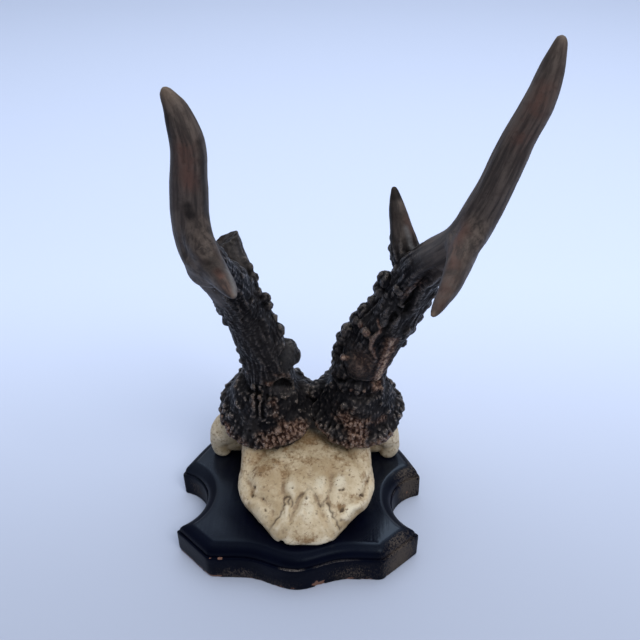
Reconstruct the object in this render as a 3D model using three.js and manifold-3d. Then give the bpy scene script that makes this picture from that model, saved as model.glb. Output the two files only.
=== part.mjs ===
// Roe buck trophy: a skull cap with both antlers on a small ebonised wooden shield, which lies on its back.
// Millimetres, +Z up off the shield. The origin is the middle of the shield's flat back.
// -Y is the shield's broad top end, beside the back of the skull, and +Y is its pointed lower end.
import * as THREE from "three";
import { mergeVertices } from "three/addons/utils/BufferGeometryUtils.js";
import Module from "manifold-3d";

// Shield: half widths and lengths of its outline, then its edge from the back upwards.
const SHIELD_TOP_Y = -62;
const SHIELD_SHOULDER_Y = -56.4;
const SHIELD_POINT_Y = 61;
const KEEL_HALF = 24;
const KEEL_PULLS = [8, 13];
const SHOULDER_HALF = 36.3;
const UPPER_EAR = { x: 52.2, y: -42.2 };
const LOWER_EAR = { x: 55.6, y: -9.6 };
const NOTCH_RADIUS = 17;
const WALL_HEIGHT = 12.4;
const SHIELD_HEIGHT = 17.5;
const MOULDING_INSET = 4.6;
const MOULDING_LEDGE = 0.8;
const MOULDING_BEAD = 0.6;
const MOULDING_STEPS = 4;
// Pull points of the curve from the lower ear to the point, and a middle that faces the whole edge.
const FLANK_PULLS = [
  { x: 46, y: 11 },
  { x: 31, y: 35 },
];
const SHIELD_MIDDLE = { x: 0, y: -23 };
const KEEL_STEPS = 8;
const NOTCH_STEPS = 10;
const FLANK_STEPS = 8;

// Skull cap: one row for each station along it, half width and roof height there.
const SKULL_X = 3.6;
const SKULL_WIDEST_SHARE = 0.42;
const SKULL_UNDERCUT = 0.9;
const SKULL_SUNK = 6;
const SKULL_AROUND = 20;
const SKULL_STEPS = 16;
const SKULL_STATIONS = [
  { y: -53, half: 10.4, roof: 21.5 },
  { y: -50.6, half: 15.6, roof: 25 },
  { y: -47, half: 18.8, roof: 28 },
  { y: -42, half: 23.2, roof: 31 },
  { y: -36, half: 27.6, roof: 34 },
  { y: -27, half: 29.8, roof: 36.5 },
  { y: -16, half: 28.6, roof: 37.6 },
  { y: -5, half: 26, roof: 38.2 },
  { y: 7, half: 28.5, roof: 38.4 },
  { y: 20, half: 29, roof: 35.5 },
  { y: 33, half: 25, roof: 30 },
  { y: 43, half: 17, roof: 24.4 },
  { y: 49, half: 13.5, roof: 21 },
];
const BRAIN_CAVITY = { y: -17, z: SHIELD_HEIGHT, half: [22.5, 28, 13.5] };
const ORBIT = { x: 38, y: 20, z: 24, half: [15, 13.5, 11] };
// Hind rim of the eye socket, from the forehead outwards and down to the shield, and the swelling on it.
const EYE_RIM_X = 1.7;
const EYE_RIM = [
  { at: [14, 10, 32], r: 9 },
  { at: [28, 5, 33], r: 8.4 },
  { at: [36, 1.5, 31], r: 7.4 },
  { at: [39.6, 0.5, 25], r: 4.7 },
  { at: [37.4, 0.5, 17.4], r: 3.6 },
];
const EYE_WING = { at: [32, 2.2, 27.6], half: [8.4, 5.8, 9.4] };
const EYE_RIM_GRID = { around: 10, steps: 9 };

// Antlers: centre lines from the burr up, with the core radius at each point.
const PEDICLE_RADIUS = 12.5;
const PEDICLE_FLARE = 2.5;
const PEDICLE_LENGTH = 18;
const BURRS_MEET_X = 4.2;
// Burr: depth below its middle, then its dome as shares of the rim's radius and heights above the middle.
const BURR_UNDER = 3.5;
const BURR_DOME = [
  { out: 1.03, high: 0.4 },
  { out: 0.95, high: 3 },
  { out: 0.83, high: 6.4 },
  { out: 0.68, high: 13 },
  { out: 0.45, high: 21 },
];
const BURR_AROUND = 20;
// Beads round the rim: how many, and the least and greatest distance past the rim, lift and radius.
const BURR_BEADS = 18;
const BEAD_OUT = [-0.6, 0.5];
const BEAD_LIFT = [0, 1.4];
const BEAD_RADIUS = [2.3, 3.4];
const JOINT_GAP = 0.3;
// Pearled lower part of the beams: its ends as shares of the beam, the furrows along it and the pearls on it.
const PEARLED_FROM = 0.12;
const PEARLED_SHARE = 0.5;
const FADE = 0.11;
const FURROWS = 5;
const FURROW_DEPTH = 0.055;
const FURROW_TWIST = 9;
const PEARL_RADIUS = [1.9, 3];
const PEARL_TURN = 2.4;
const PEARL_OUT = 0.94;
const LUMP_OUT = 0.86;
const BEAM_GRID = { around: 14, steps: 26 };
const TINE_GRID = { around: 10, steps: 7 };
// Longer than the trophy is in any direction.
const BEYOND = 240;

const LEFT = {
  name: "left",
  burr: { at: [-15, 0, 47], lean: [-0.05, -0.34], radius: 19.8 },
  beam: [
    { at: [-14.5, -0.5, 46], r: 12.2 },
    { at: [-12.6, -3, 61], r: 11 },
    { at: [-12.2, -5.5, 74], r: 10 },
    { at: [-14.4, -8.5, 88], r: 9.2 },
    { at: [-17.6, -12, 102], r: 8.6 },
    { at: [-20.4, -18, 116], r: 8.2 },
    { at: [-23, -27, 128], r: 7.5 },
    { at: [-25.5, -36, 138.5], r: 6.9 },
    { at: [-27.2, -42, 148.5], r: 6.4 },
    { at: [-28, -44.3, 160], r: 6 },
    { at: [-27, -45.3, 173], r: 5.9 },
    { at: [-25.6, -46, 184.5], r: 5.3 },
    { at: [-27.4, -45, 194], r: 4.1 },
    { at: [-30.6, -44, 201], r: 1.5 },
  ],
  // Broad pearls and plates that stand out of the beam: height share, angle in turns, radius.
  lumps: [
    [0.15, 0.5, 6],
    [0.2, 0.54, 4.4],
    [0.27, 0.5, 3.4],
    [0.36, 0.46, 3.4],
    [0.42, 0.5, 3],
  ],
  pearls: 18,
};
LEFT.tines = [
  {
    name: "front_stump",
    path: [
      { at: [-18.2, -17, 112], r: 7.2 },
      { at: [-19.8, -14.5, 123], r: 6.2 },
      { at: [-22.4, -12, 131.5], r: 5.1 },
      { at: [-24.6, -9.8, 141], r: 4.5 },
    ],
    // The break: a point on it, and its slope down to the left.
    cut: { at: [-20, -10, 138.6], slope: 0.51 },
  },
  {
    name: "back_tine",
    path: [
      { at: [-26.8, -41, 146], r: 6 },
      { at: [-20.4, -53, 147.6], r: 4.3 },
      { at: [-15, -63.5, 148.2], r: 2.9 },
      { at: [-12, -70, 148], r: 1 },
    ],
  },
];

const RIGHT = {
  name: "right",
  burr: { at: [24.4, 0, 47.5], lean: [0.1, -0.34], radius: 20.4 },
  beam: [
    { at: [24.2, -0.5, 46], r: 12.6 },
    { at: [24.8, -2.5, 60], r: 11.4 },
    { at: [27.4, -5.5, 75], r: 10.8 },
    { at: [32, -9, 90], r: 10.4 },
    { at: [37.5, -12, 102.5], r: 10 },
    { at: [42.4, -15.8, 114], r: 9.2 },
    { at: [46, -21.5, 127], r: 8.6 },
    { at: [51.2, -31, 139.5], r: 7.3 },
    { at: [57.8, -40.5, 151.8], r: 6.4 },
    { at: [63.3, -45, 168], r: 5.6 },
    { at: [68.5, -47, 186], r: 5 },
    { at: [72.4, -48, 197], r: 4.6 },
    { at: [75, -48, 207.5], r: 3.5 },
    { at: [76.3, -48, 215.4], r: 1.6 },
  ],
  lumps: [
    [0.12, 0.5, 3.8],
    [0.17, 0.47, 4.2],
    [0.21, 0.44, 3.6],
    [0.3, 0.46, 3.4],
    [0.37, 0.45, 3.6],
    [0.41, 0.48, 3.2],
  ],
  pearls: 18,
};
RIGHT.tines = [
  {
    name: "front_tine",
    path: [
      { at: [44.6, -20.6, 122], r: 6.8 },
      { at: [42.6, -17, 132], r: 5.7 },
      { at: [40.6, -12.5, 140], r: 4.5 },
      { at: [38.8, -8.5, 147.5], r: 3.2 },
      { at: [37.1, -5, 154.8], r: 1.2 },
    ],
  },
  {
    name: "back_tine",
    path: [
      { at: [57.8, -41, 152], r: 5.9 },
      { at: [54.6, -55, 152], r: 4.3 },
      { at: [50, -68, 150.6], r: 3.2 },
      { at: [46.8, -76, 150], r: 2.2 },
      { at: [45, -80, 149.2], r: 1 },
    ],
  },
];

const EBONISED = { color: 0x15171c, roughness: 0.38, metalness: 0 };
const BONE = { color: 0xc3b08c, roughness: 0.7, metalness: 0 };
const ANTLER = { color: 0x3a2c22, roughness: 0.6, metalness: 0 };

const wasm = await Module();
wasm.setup();

// Joining and cutting.

function solidOf(geometry) {
  const bare = geometry.clone();
  bare.deleteAttribute("normal");
  bare.deleteAttribute("uv");
  const merged = mergeVertices(bare);
  return new wasm.Manifold(
    new wasm.Mesh({
      numProp: 3,
      vertProperties: merged.getAttribute("position").array,
      triVerts: new Uint32Array(merged.index.array),
    }),
  );
}

function meshOf(name, solid, finish) {
  const { vertProperties, triVerts } = solid.getMesh();
  const geometry = new THREE.BufferGeometry();
  geometry.setAttribute("position", new THREE.BufferAttribute(vertProperties, 3));
  geometry.setIndex(new THREE.BufferAttribute(triVerts, 1));
  geometry.computeVertexNormals();
  const mesh = new THREE.Mesh(geometry, new THREE.MeshStandardMaterial(finish));
  mesh.name = name;
  return mesh;
}

const joined = (solids) => solids.reduce((all, solid) => all.add(solid));
const largestOf = (solid) => solid.decompose().sort((a, b) => b.volume() - a.volume())[0];
const vector = (at) => new THREE.Vector3(...at);

// Repeatable scatter between 0 and 1, and between two limits.
const scatter = (n) => THREE.MathUtils.euclideanModulo(Math.sin(n * 127.1 + 31.7) * 43758.5453, 1);
const between = ([least, greatest], n) => THREE.MathUtils.lerp(least, greatest, scatter(n));

// A round bar along a smooth line through points that carry their own radius.
// swell(along, angle) multiplies the radius, and grow adds to it.
class Bar {
  constructor(points, { around, steps, swell = () => 1, grow = 0 }) {
    this.line = new THREE.CatmullRomCurve3(points.map((p) => vector(p.at)));
    this.radii = new THREE.SplineCurve(points.map((p, i) => new THREE.Vector2(i, p.r)));
    this.frames = this.line.computeFrenetFrames(steps, false);
    Object.assign(this, { around, steps, swell, grow });
  }

  radius(share, angle) {
    const r = this.radii.getPoint(this.line.getUtoTmapping(share)).y;
    return Math.max(r, 0.3) * this.swell(share, angle) + this.grow;
  }

  // The point at a share of the bar's length, an angle round it, and a share of its radius out.
  point(share, angle, out = 1) {
    const step = Math.round(share * this.steps);
    const aside = this.frames.normals[step].clone().multiplyScalar(Math.cos(angle));
    aside.addScaledVector(this.frames.binormals[step], Math.sin(angle));
    return this.line.getPointAt(share).addScaledVector(aside, out * this.radius(share, angle));
  }

  solid() {
    const geometry = new THREE.CylinderGeometry(1, 1, 1, this.around, this.steps);
    const position = geometry.getAttribute("position");
    const corner = new THREE.Vector3();
    for (let i = 0; i < position.count; i += 1) {
      corner.fromBufferAttribute(position, i);
      const angle = Math.atan2(corner.x, corner.z);
      const placed = this.point(corner.y + 0.5, angle, Math.hypot(corner.x, corner.z));
      position.setXYZ(i, placed.x, placed.y, placed.z);
    }
    return solidOf(geometry);
  }
}

function ball(at, radius) {
  return solidOf(new THREE.IcosahedronGeometry(radius).translate(...at.toArray()));
}

function ellipsoid(at, half) {
  const geometry = new THREE.SphereGeometry(1, 16, 8);
  return solidOf(geometry.scale(...half).translate(...at));
}

// Shield.

// Where a line from a point meets the notch's circle.
function meet(from, along, centre, radius) {
  const reach = from.clone().sub(centre);
  const half = reach.dot(along);
  const far = reach.lengthSq() - radius ** 2;
  return from.clone().addScaledVector(along, -half - Math.sqrt(half ** 2 - far));
}

// The outline drawn in by an inset, anticlockwise from the middle of the top edge.
function shieldOutline(inset) {
  const point = (x, y) => new THREE.Vector2(x, y);
  const leftOf = (along) => point(-along.y, along.x).multiplyScalar(inset);
  const upper = point(UPPER_EAR.x, UPPER_EAR.y);
  const lower = point(LOWER_EAR.x, LOWER_EAR.y);
  const chord = lower.clone().sub(upper);
  const back = Math.sqrt(NOTCH_RADIUS ** 2 - chord.lengthSq() / 4);
  const centre = upper.clone().add(lower).multiplyScalar(0.5).add(point(chord.y, -chord.x).setLength(back));
  const radius = NOTCH_RADIUS + inset;

  const level = SHIELD_SHOULDER_Y + inset;
  const slope = upper.clone().sub(point(SHOULDER_HALF, SHIELD_SHOULDER_Y)).normalize();
  const onSlope = upper.clone().add(leftOf(slope));
  const corner = onSlope.clone().addScaledVector(slope, (level - onSlope.y) / slope.y);
  const upperEar = meet(corner, slope, centre, radius);
  const flankPull = point(FLANK_PULLS[0].x, FLANK_PULLS[0].y);
  const rise = flankPull.clone().sub(lower).normalize();
  const flankStart = flankPull.clone().add(leftOf(rise));
  const lowerEar = meet(flankStart, rise.clone().negate(), centre, radius);
  const tip = point(0, SHIELD_POINT_Y);
  const run = tip.clone().sub(point(FLANK_PULLS[1].x, FLANK_PULLS[1].y)).normalize();
  const tipPull = point(FLANK_PULLS[1].x, FLANK_PULLS[1].y).add(leftOf(run));
  const tipEnd = tipPull.clone().addScaledVector(run, -tipPull.x / run.x);

  const crown = point(0, SHIELD_TOP_Y + inset);
  const keelEnd = point(KEEL_HALF, level);
  const pulls = [point(KEEL_PULLS[0], crown.y), point(KEEL_PULLS[1], level)];
  const keel = new THREE.CubicBezierCurve(crown, ...pulls, keelEnd);
  const from = upperEar.clone().sub(centre).angle();
  const to = lowerEar.clone().sub(centre).angle();
  const notch = new THREE.EllipseCurve(centre.x, centre.y, radius, radius, from, to, true);
  const flank = new THREE.CubicBezierCurve(lowerEar, flankStart, tipPull, tipEnd);
  const lowerHalf = flank.getPoints(FLANK_STEPS).slice(1);
  const half = [...keel.getPoints(KEEL_STEPS), corner, ...notch.getPoints(NOTCH_STEPS), ...lowerHalf];
  const mirrored = half.slice(1, -1).reverse().map((p) => point(-p.x, p.y));
  return [...half, ...mirrored];
}

// The edge from the back upwards: height and inset, with a rounded moulding above the ledge.
function shieldEdge() {
  const edge = [
    [0, 0],
    [WALL_HEIGHT, 0],
    [WALL_HEIGHT, MOULDING_LEDGE],
  ];
  const rise = SHIELD_HEIGHT - WALL_HEIGHT - MOULDING_BEAD;
  const run = MOULDING_INSET - MOULDING_LEDGE;
  for (let step = 0; step <= MOULDING_STEPS; step += 1) {
    const turn = (step / MOULDING_STEPS) * (Math.PI / 2);
    const height = WALL_HEIGHT + MOULDING_BEAD + rise * Math.sin(turn);
    edge.push([height, MOULDING_LEDGE + run * (1 - Math.cos(turn))]);
  }
  return edge;
}

function shieldSolid() {
  const edge = shieldEdge();
  const rings = edge.map(([, inset]) => shieldOutline(inset));
  const around = rings[0].length;
  const geometry = new THREE.CylinderGeometry(1, 1, 1, around, edge.length - 1);
  const position = geometry.getAttribute("position");
  for (let i = 0; i < position.count; i += 1) {
    const layer = Math.round((position.getY(i) + 0.5) * (edge.length - 1));
    const turns = Math.atan2(position.getX(i), position.getZ(i)) / (2 * Math.PI);
    const place = THREE.MathUtils.euclideanModulo(Math.round(turns * around), around);
    const onRim = Math.hypot(position.getX(i), position.getZ(i)) > 0.5;
    const { x, y } = onRim ? rings[layer][place] : SHIELD_MIDDLE;
    position.setXYZ(i, x, y, edge[layer][0]);
  }
  return solidOf(geometry);
}

// Antlers.

function burrFrame({ at, lean }) {
  const up = new THREE.Vector3(lean[0], lean[1], 1).normalize();
  const turn = new THREE.Quaternion().setFromUnitVectors(new THREE.Vector3(0, 1, 0), up);
  return new THREE.Matrix4().compose(vector(at), turn, new THREE.Vector3(1, 1, 1));
}

function burrSolids({ burr }, grow) {
  const rim = burr.radius;
  const under = -BURR_UNDER - grow;
  const dome = BURR_DOME.map(({ out, high }) => new THREE.Vector2(out * rim + grow, high + grow));
  const profile = [
    new THREE.Vector2(0, under),
    new THREE.Vector2(PEDICLE_RADIUS + grow, under),
    new THREE.Vector2(rim - 1 + grow, under + 1),
    ...dome,
    new THREE.Vector2(0, dome.at(-1).y),
  ];
  const frame = burrFrame(burr);
  const disc = new THREE.LatheGeometry(profile, BURR_AROUND);
  const solids = [solidOf(disc.applyMatrix4(frame))];
  for (let i = 0; i < BURR_BEADS; i += 1) {
    const angle = ((i + 0.3 * scatter(i)) / BURR_BEADS) * 2 * Math.PI;
    const out = rim + between(BEAD_OUT, i + 40);
    const bead = new THREE.Vector3(out * Math.cos(angle), between(BEAD_LIFT, i + 80), out * Math.sin(angle));
    solids.push(ball(bead.applyMatrix4(frame), between(BEAD_RADIUS, i + 120) + grow));
  }
  return solids;
}

function beamBar({ beam }, grow) {
  const swell = (share, angle) => {
    const rough = 1 - THREE.MathUtils.smoothstep(share, PEARLED_SHARE - FADE, PEARLED_SHARE + FADE);
    return 1 + FURROW_DEPTH * rough * Math.sin(FURROWS * angle + FURROW_TWIST * share);
  };
  return new Bar(beam, { ...BEAM_GRID, swell, grow });
}

function pearlSolids(side, bar, grow) {
  const solids = [];
  for (let i = 0; i < side.pearls; i += 1) {
    const share = THREE.MathUtils.lerp(PEARLED_FROM, PEARLED_SHARE, (i + scatter(i + 7)) / side.pearls);
    const angle = i * PEARL_TURN + scatter(i + 17);
    solids.push(ball(bar.point(share, angle, PEARL_OUT), between(PEARL_RADIUS, i + 27) + grow));
  }
  for (const [share, turns, radius] of side.lumps) {
    solids.push(ball(bar.point(share, turns * 2 * Math.PI, LUMP_OUT), radius + grow));
  }
  return solids;
}

// The burrs have grown against each other, so each is flat where they meet.
function antlerSolid(side, grow = 0) {
  const bar = beamBar(side, grow);
  const whole = joined([bar.solid(), ...burrSolids(side, grow), ...pearlSolids(side, bar, grow)]);
  const way = Math.sign(side.burr.at[0] - BURRS_MEET_X);
  const room = new THREE.BoxGeometry(BEYOND, BEYOND, 2 * BEYOND);
  room.translate(BURRS_MEET_X + way * ((BEYOND + JOINT_GAP) / 2 - grow), 0, 0);
  return whole.intersect(solidOf(room));
}

function tineSolid({ path, cut }, beamWithGap) {
  let tine = new Bar(path, TINE_GRID).solid();
  if (cut) {
    const block = new THREE.BoxGeometry(BEYOND, BEYOND, BEYOND).translate(0, 0, BEYOND / 2);
    tine = tine.subtract(solidOf(block.rotateY(-cut.slope).translate(...cut.at)));
  }
  return largestOf(tine.subtract(beamWithGap));
}

// Skull cap.

function skullBody() {
  const rows = SKULL_STATIONS;
  const halves = new THREE.SplineCurve(rows.map((s) => new THREE.Vector2(s.y, s.half)));
  const roofs = new THREE.SplineCurve(rows.map((s) => new THREE.Vector2(s.y, s.roof)));
  const geometry = new THREE.CylinderGeometry(1, 1, 1, SKULL_AROUND, SKULL_STEPS);
  const position = geometry.getAttribute("position");
  for (let i = 0; i < position.count; i += 1) {
    const out = Math.hypot(position.getX(i), position.getZ(i));
    const angle = Math.atan2(position.getX(i), position.getZ(i));
    const along = 0.5 - position.getY(i);
    const { x: y, y: half } = halves.getPoint(along);
    const roof = roofs.getPoint(along).y;
    const widest = SHIELD_HEIGHT + SKULL_WIDEST_SHARE * (roof - SHIELD_HEIGHT);
    const across = out * half * Math.cos(angle);
    const high = out * Math.sin(angle);
    const above = high > 0 ? high * (roof - widest) : high * (widest - SHIELD_HEIGHT + SKULL_SUNK);
    position.setXYZ(i, SKULL_X + across * (high < 0 ? SKULL_UNDERCUT ** -high : 1), y, widest + above);
  }
  return solidOf(geometry);
}

function pedicle({ burr }) {
  const top = -BURR_UNDER - JOINT_GAP;
  const foot = PEDICLE_RADIUS + PEDICLE_FLARE;
  const stem = new THREE.CylinderGeometry(PEDICLE_RADIUS, foot, PEDICLE_LENGTH, SKULL_AROUND);
  stem.translate(0, top - PEDICLE_LENGTH / 2, 0);
  return solidOf(stem.applyMatrix4(burrFrame(burr)));
}

function skullSolid(antlersWithGap) {
  let skull = skullBody();
  for (const side of [LEFT, RIGHT]) skull = skull.add(pedicle(side));
  for (const way of [-1, 1]) {
    const outwards = ([x, y, z]) => [EYE_RIM_X + way * x, y, z];
    const rim = EYE_RIM.map(({ at, r }) => ({ at: outwards(at), r }));
    const wing = ellipsoid(outwards(EYE_WING.at), EYE_WING.half);
    const socket = ellipsoid([SKULL_X + way * ORBIT.x, ORBIT.y, ORBIT.z], ORBIT.half);
    skull = skull.subtract(socket).add(new Bar(rim, EYE_RIM_GRID).solid()).add(wing);
  }
  const cavity = ellipsoid([SKULL_X, BRAIN_CAVITY.y, BRAIN_CAVITY.z], BRAIN_CAVITY.half);
  const room = new THREE.BoxGeometry(BEYOND, BEYOND, BEYOND).translate(0, 0, SHIELD_HEIGHT + BEYOND / 2);
  skull = skull.subtract(cavity).intersect(solidOf(room));
  for (const antler of antlersWithGap) skull = skull.subtract(antler);
  return largestOf(skull);
}

// The whole trophy.

const trophy = new THREE.Group();
trophy.add(meshOf("plaque", shieldSolid(), EBONISED));

const antlersWithGap = [];
for (const side of [LEFT, RIGHT]) {
  const withGap = antlerSolid(side, JOINT_GAP);
  antlersWithGap.push(withGap);
  trophy.add(meshOf(`${side.name}_antler`, antlerSolid(side), ANTLER));
  for (const tine of side.tines) {
    trophy.add(meshOf(`${side.name}_${tine.name}`, tineSolid(tine, withGap), ANTLER));
  }
}
trophy.add(meshOf("skull_cap", skullSolid(antlersWithGap), BONE));

export default trophy;
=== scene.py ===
import math

import bmesh
import bpy
import numpy as np
from mathutils import Matrix


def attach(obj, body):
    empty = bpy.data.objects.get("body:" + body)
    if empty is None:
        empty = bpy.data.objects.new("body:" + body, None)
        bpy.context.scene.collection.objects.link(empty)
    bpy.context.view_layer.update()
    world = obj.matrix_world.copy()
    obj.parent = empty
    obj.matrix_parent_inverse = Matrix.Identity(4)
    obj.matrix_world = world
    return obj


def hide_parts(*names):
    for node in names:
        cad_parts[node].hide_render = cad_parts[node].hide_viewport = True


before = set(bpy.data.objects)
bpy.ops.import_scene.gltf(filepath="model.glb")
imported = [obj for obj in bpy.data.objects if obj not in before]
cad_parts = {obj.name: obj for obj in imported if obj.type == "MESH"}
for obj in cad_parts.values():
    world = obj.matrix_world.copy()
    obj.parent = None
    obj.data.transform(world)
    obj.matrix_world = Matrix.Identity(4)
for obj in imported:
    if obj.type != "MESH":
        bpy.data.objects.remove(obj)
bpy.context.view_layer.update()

# Everything is built in millimetres in the CAD frame, and scaled to metres when a mesh is finished.
MM = 0.001
# Cell size of the even skins. A smaller one takes the skull past 200,000 triangles.
VOXEL = 0.465
FULL_TURN = 2 * math.pi
rng = np.random.default_rng(7)


# Noise and small maths.

HASH_CELL = np.array([374761393, 668265263, 1440662683])
HASH_SEED = 974634777
# Each round of the hash shifts to the right and multiplies.
HASH_ROUNDS = ((13, 1274126177), (16, 2246822519), (15, 1))
HASH_TOP = 0xFFFFFF
GRAIN_REACH = 0.55
OCTAVE_SHIFT = 17.3
# A direction that no path starts along.
ASIDE = (0, 1, 0.2)
FAR = 1e9


def unit(v):
    v = np.asarray(v, float)
    return v / np.linalg.norm(v, axis=-1, keepdims=True)


def ramp(x, low, high):
    """A smooth step from 0 to 1."""
    t = np.clip((x - low) / (high - low), 0, 1)
    return t * t * (3 - 2 * t)


def bell(x):
    """1 at nought, falling off smoothly to both sides."""
    return np.exp(-(x**2))


def hashed(cell, seed):
    """A repeatable value from 0 to 1 for each whole-number cell."""
    h = (cell @ HASH_CELL + seed * HASH_SEED).astype(np.uint64)
    for shift, factor in HASH_ROUNDS:
        h = (h ^ (h >> np.uint64(shift))) * np.uint64(factor)
    return (h & np.uint64(HASH_TOP)).astype(float) / HASH_TOP


def value_noise(p, seed):
    cell = np.floor(p).astype(np.int64)
    f = p - cell
    w = f * f * (3 - 2 * f)
    total = np.zeros(len(p))
    for step in np.ndindex(2, 2, 2):
        share = np.where(step, w, 1 - w)
        total += share[:, 0] * share[:, 1] * share[:, 2] * hashed(cell + step, seed)
    return total * 2 - 1


def fbm(p, octaves, seed):
    """Noise from -1 to 1 with finer and weaker octaves on top."""
    total = np.zeros(len(p))
    size = 1
    for octave in range(octaves):
        total += size * value_noise(p * 2**octave + OCTAVE_SHIFT * octave, seed + octave)
        size *= 0.5
    return total / (2 - 0.5 ** (octaves - 1))


def drift(p, scale, octaves, seed):
    """Three noises as the columns of a shift."""
    return np.stack([fbm(p * scale, octaves, seed + n) for n in range(3)], 1)


def grains(p, seed):
    """Rounded grains, 1 in the middle of a grain and 0 in the gaps between grains."""
    cell = np.floor(p).astype(np.int64)
    near = np.full(len(p), FAR)
    for step in np.ndindex(3, 3, 3):
        c = cell + step - 1
        seat = np.stack([hashed(c, seed + n) for n in (1, 2, 3)], 1)
        near = np.minimum(near, ((c + seat - p) ** 2).sum(1))
    return np.sqrt(np.clip(1 - near / GRAIN_REACH, 0, 1))


def spline(points, count):
    """A smooth line through rows of numbers, evenly spaced along its length."""
    p = np.array(points, float)
    p = np.vstack([2 * p[0] - p[1], p, 2 * p[-1] - p[-2]])
    u = np.linspace(0, len(points) - 1, count * 4)
    i = np.minimum(u.astype(int), len(points) - 2)
    f = (u - i)[:, None]
    a, b, c, d = p[i], p[i + 1], p[i + 2], p[i + 3]
    q = 0.5 * (2 * b + (c - a) * f + (2 * a - 5 * b + 4 * c - d) * f**2 + (3 * b - a - 3 * c + d) * f**3)
    far = np.concatenate([[0], np.cumsum(np.linalg.norm(np.diff(q[:, :3], axis=0), axis=1))])
    even = np.linspace(0, far[-1], count)
    return np.stack([np.interp(even, far, q[:, n]) for n in range(q.shape[1])], 1)


def length_of(line):
    return np.linalg.norm(np.diff(np.array(line, float)[:, :3], axis=0), axis=1).sum()


def carried_frames(line):
    """Tangent and two cross directions along a line, turning as little as possible."""
    t = unit(np.gradient(line, axis=0))
    n = np.zeros_like(t)
    n[0] = unit(np.cross(t[0], ASIDE))
    for k in range(1, len(t)):
        n[k] = unit(n[k - 1] - t[k] * np.dot(n[k - 1], t[k]))
    return t, n, np.cross(t, n)


def circle(count, across, along):
    """Points round a circle of radius 1 that two directions span."""
    angle = np.linspace(0, FULL_TURN, count, endpoint=False)[:, None]
    return np.cos(angle) * across + np.sin(angle) * along


def line_distance(points, line):
    """Distance from each point to a line of straight pieces."""
    best = np.full(len(points), FAR)
    for a, b in zip(line[:-1], line[1:]):
        a, b = np.array(a, float), np.array(b, float)
        f = np.clip(((points - a) @ (b - a)) / max((b - a) @ (b - a), 1e-9), 0, 1)
        best = np.minimum(best, np.linalg.norm(points - a - f[:, None] * (b - a), axis=1))
    return best


def traced(p, marks):
    """The strongest of a list of marks, each a strength, a width and a line."""
    return np.max([much * bell(line_distance(p, line) / width) for much, width, line in marks], 0)


def spot(points, at, radius):
    """1 at a place, falling off smoothly over a radius."""
    return bell(np.linalg.norm((points - np.array(at)) / np.array(radius), axis=1))


def spots(points, marks):
    """The strongest of a list of spots, each a place, a size and a strength."""
    return np.max([much * spot(points, at, size) for at, size, much in marks], 0)


# The direction in which the photograph's camera looks, near enough.
SEEN = unit((0, 0.83, -0.56))


def as_seen(points):
    """Points without their depth along that direction, because the skull's marks are laid out as seen."""
    points = np.asarray(points, float)
    return points - (points @ SEEN)[:, None] * SEEN


# Closed shells: each is (corners, faces).

THINNEST = 0.2
TIP_REACH = 0.6
BALL_ROUNDS = 3


def loft(rings, start=None, end=None):
    """Closed skin over rings of equal length, with a middle point at each end."""
    count = len(rings[0])
    start = rings[0].mean(0) if start is None else start
    end = rings[-1].mean(0) if end is None else end
    corners = np.vstack([*rings, start, end])
    first, last = len(corners) - 2, len(corners) - 1
    faces = []
    for r in range(len(rings) - 1):
        for k in range(count):
            a, b = r * count + k, r * count + (k + 1) % count
            faces.append((a, b, b + count, a + count))
    top = (len(rings) - 1) * count
    for k in range(count):
        faces.append((first, (k + 1) % count, k))
        faces.append((last, top + k, top + (k + 1) % count))
    return corners, faces


def tube(path, around=28, step=0.8):
    """A round bar through rows of x, y, z, radius, with a rounded far end."""
    rows = spline(path, max(int(length_of(path) / step), 6))
    t, n, b = carried_frames(rows[:, :3])
    rings = []
    for row, across, along in zip(rows, n, b):
        rings.append(row[:3] + max(row[3], THINNEST) * circle(around, across, along))
    return loft(rings, end=rows[-1, :3] + t[-1] * rows[-1, 3] * TIP_REACH)


def unit_ball():
    made = bmesh.new()
    bmesh.ops.create_icosphere(made, subdivisions=BALL_ROUNDS, radius=1)
    corners = np.array([v.co[:] for v in made.verts])
    faces = [tuple(v.index for v in f.verts) for f in made.faces]
    made.free()
    return corners, faces


BALL = unit_ball()


def ball(at, radius):
    return BALL[0] * np.array(radius) + np.array(at), BALL[1]


def placed(name, data):
    """A new object in the scene."""
    obj = bpy.data.objects.new(name, data)
    bpy.context.scene.collection.objects.link(obj)
    return obj


def piece(name, shells):
    """An object in millimetres holding the shells side by side."""
    corners, faces, offset = [], [], 0
    for c, f in shells:
        corners.append(c)
        faces += [tuple(k + offset for k in face) for face in f]
        offset += len(c)
    mesh = bpy.data.meshes.new(name)
    mesh.from_pydata(np.vstack(corners).tolist(), [], faces)
    return placed(name, mesh)


def baked(obj):
    """Applies the modifiers of an object."""
    made = bpy.data.meshes.new_from_object(obj.evaluated_get(bpy.context.evaluated_depsgraph_get()))
    obj.modifiers.clear()
    obj.data = made
    return obj


def skinned(obj):
    """One even skin over everything in the object."""
    remesh = obj.modifiers.new("skin", "REMESH")
    remesh.mode = "VOXEL"
    remesh.voxel_size = VOXEL
    return baked(obj)


def fetched(items, key, columns, kind):
    """A property of all items of a mesh as rows of an array."""
    made = np.zeros(len(items) * columns, dtype=kind)
    items.foreach_get(key, made)
    return made.reshape(-1, columns)


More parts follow.
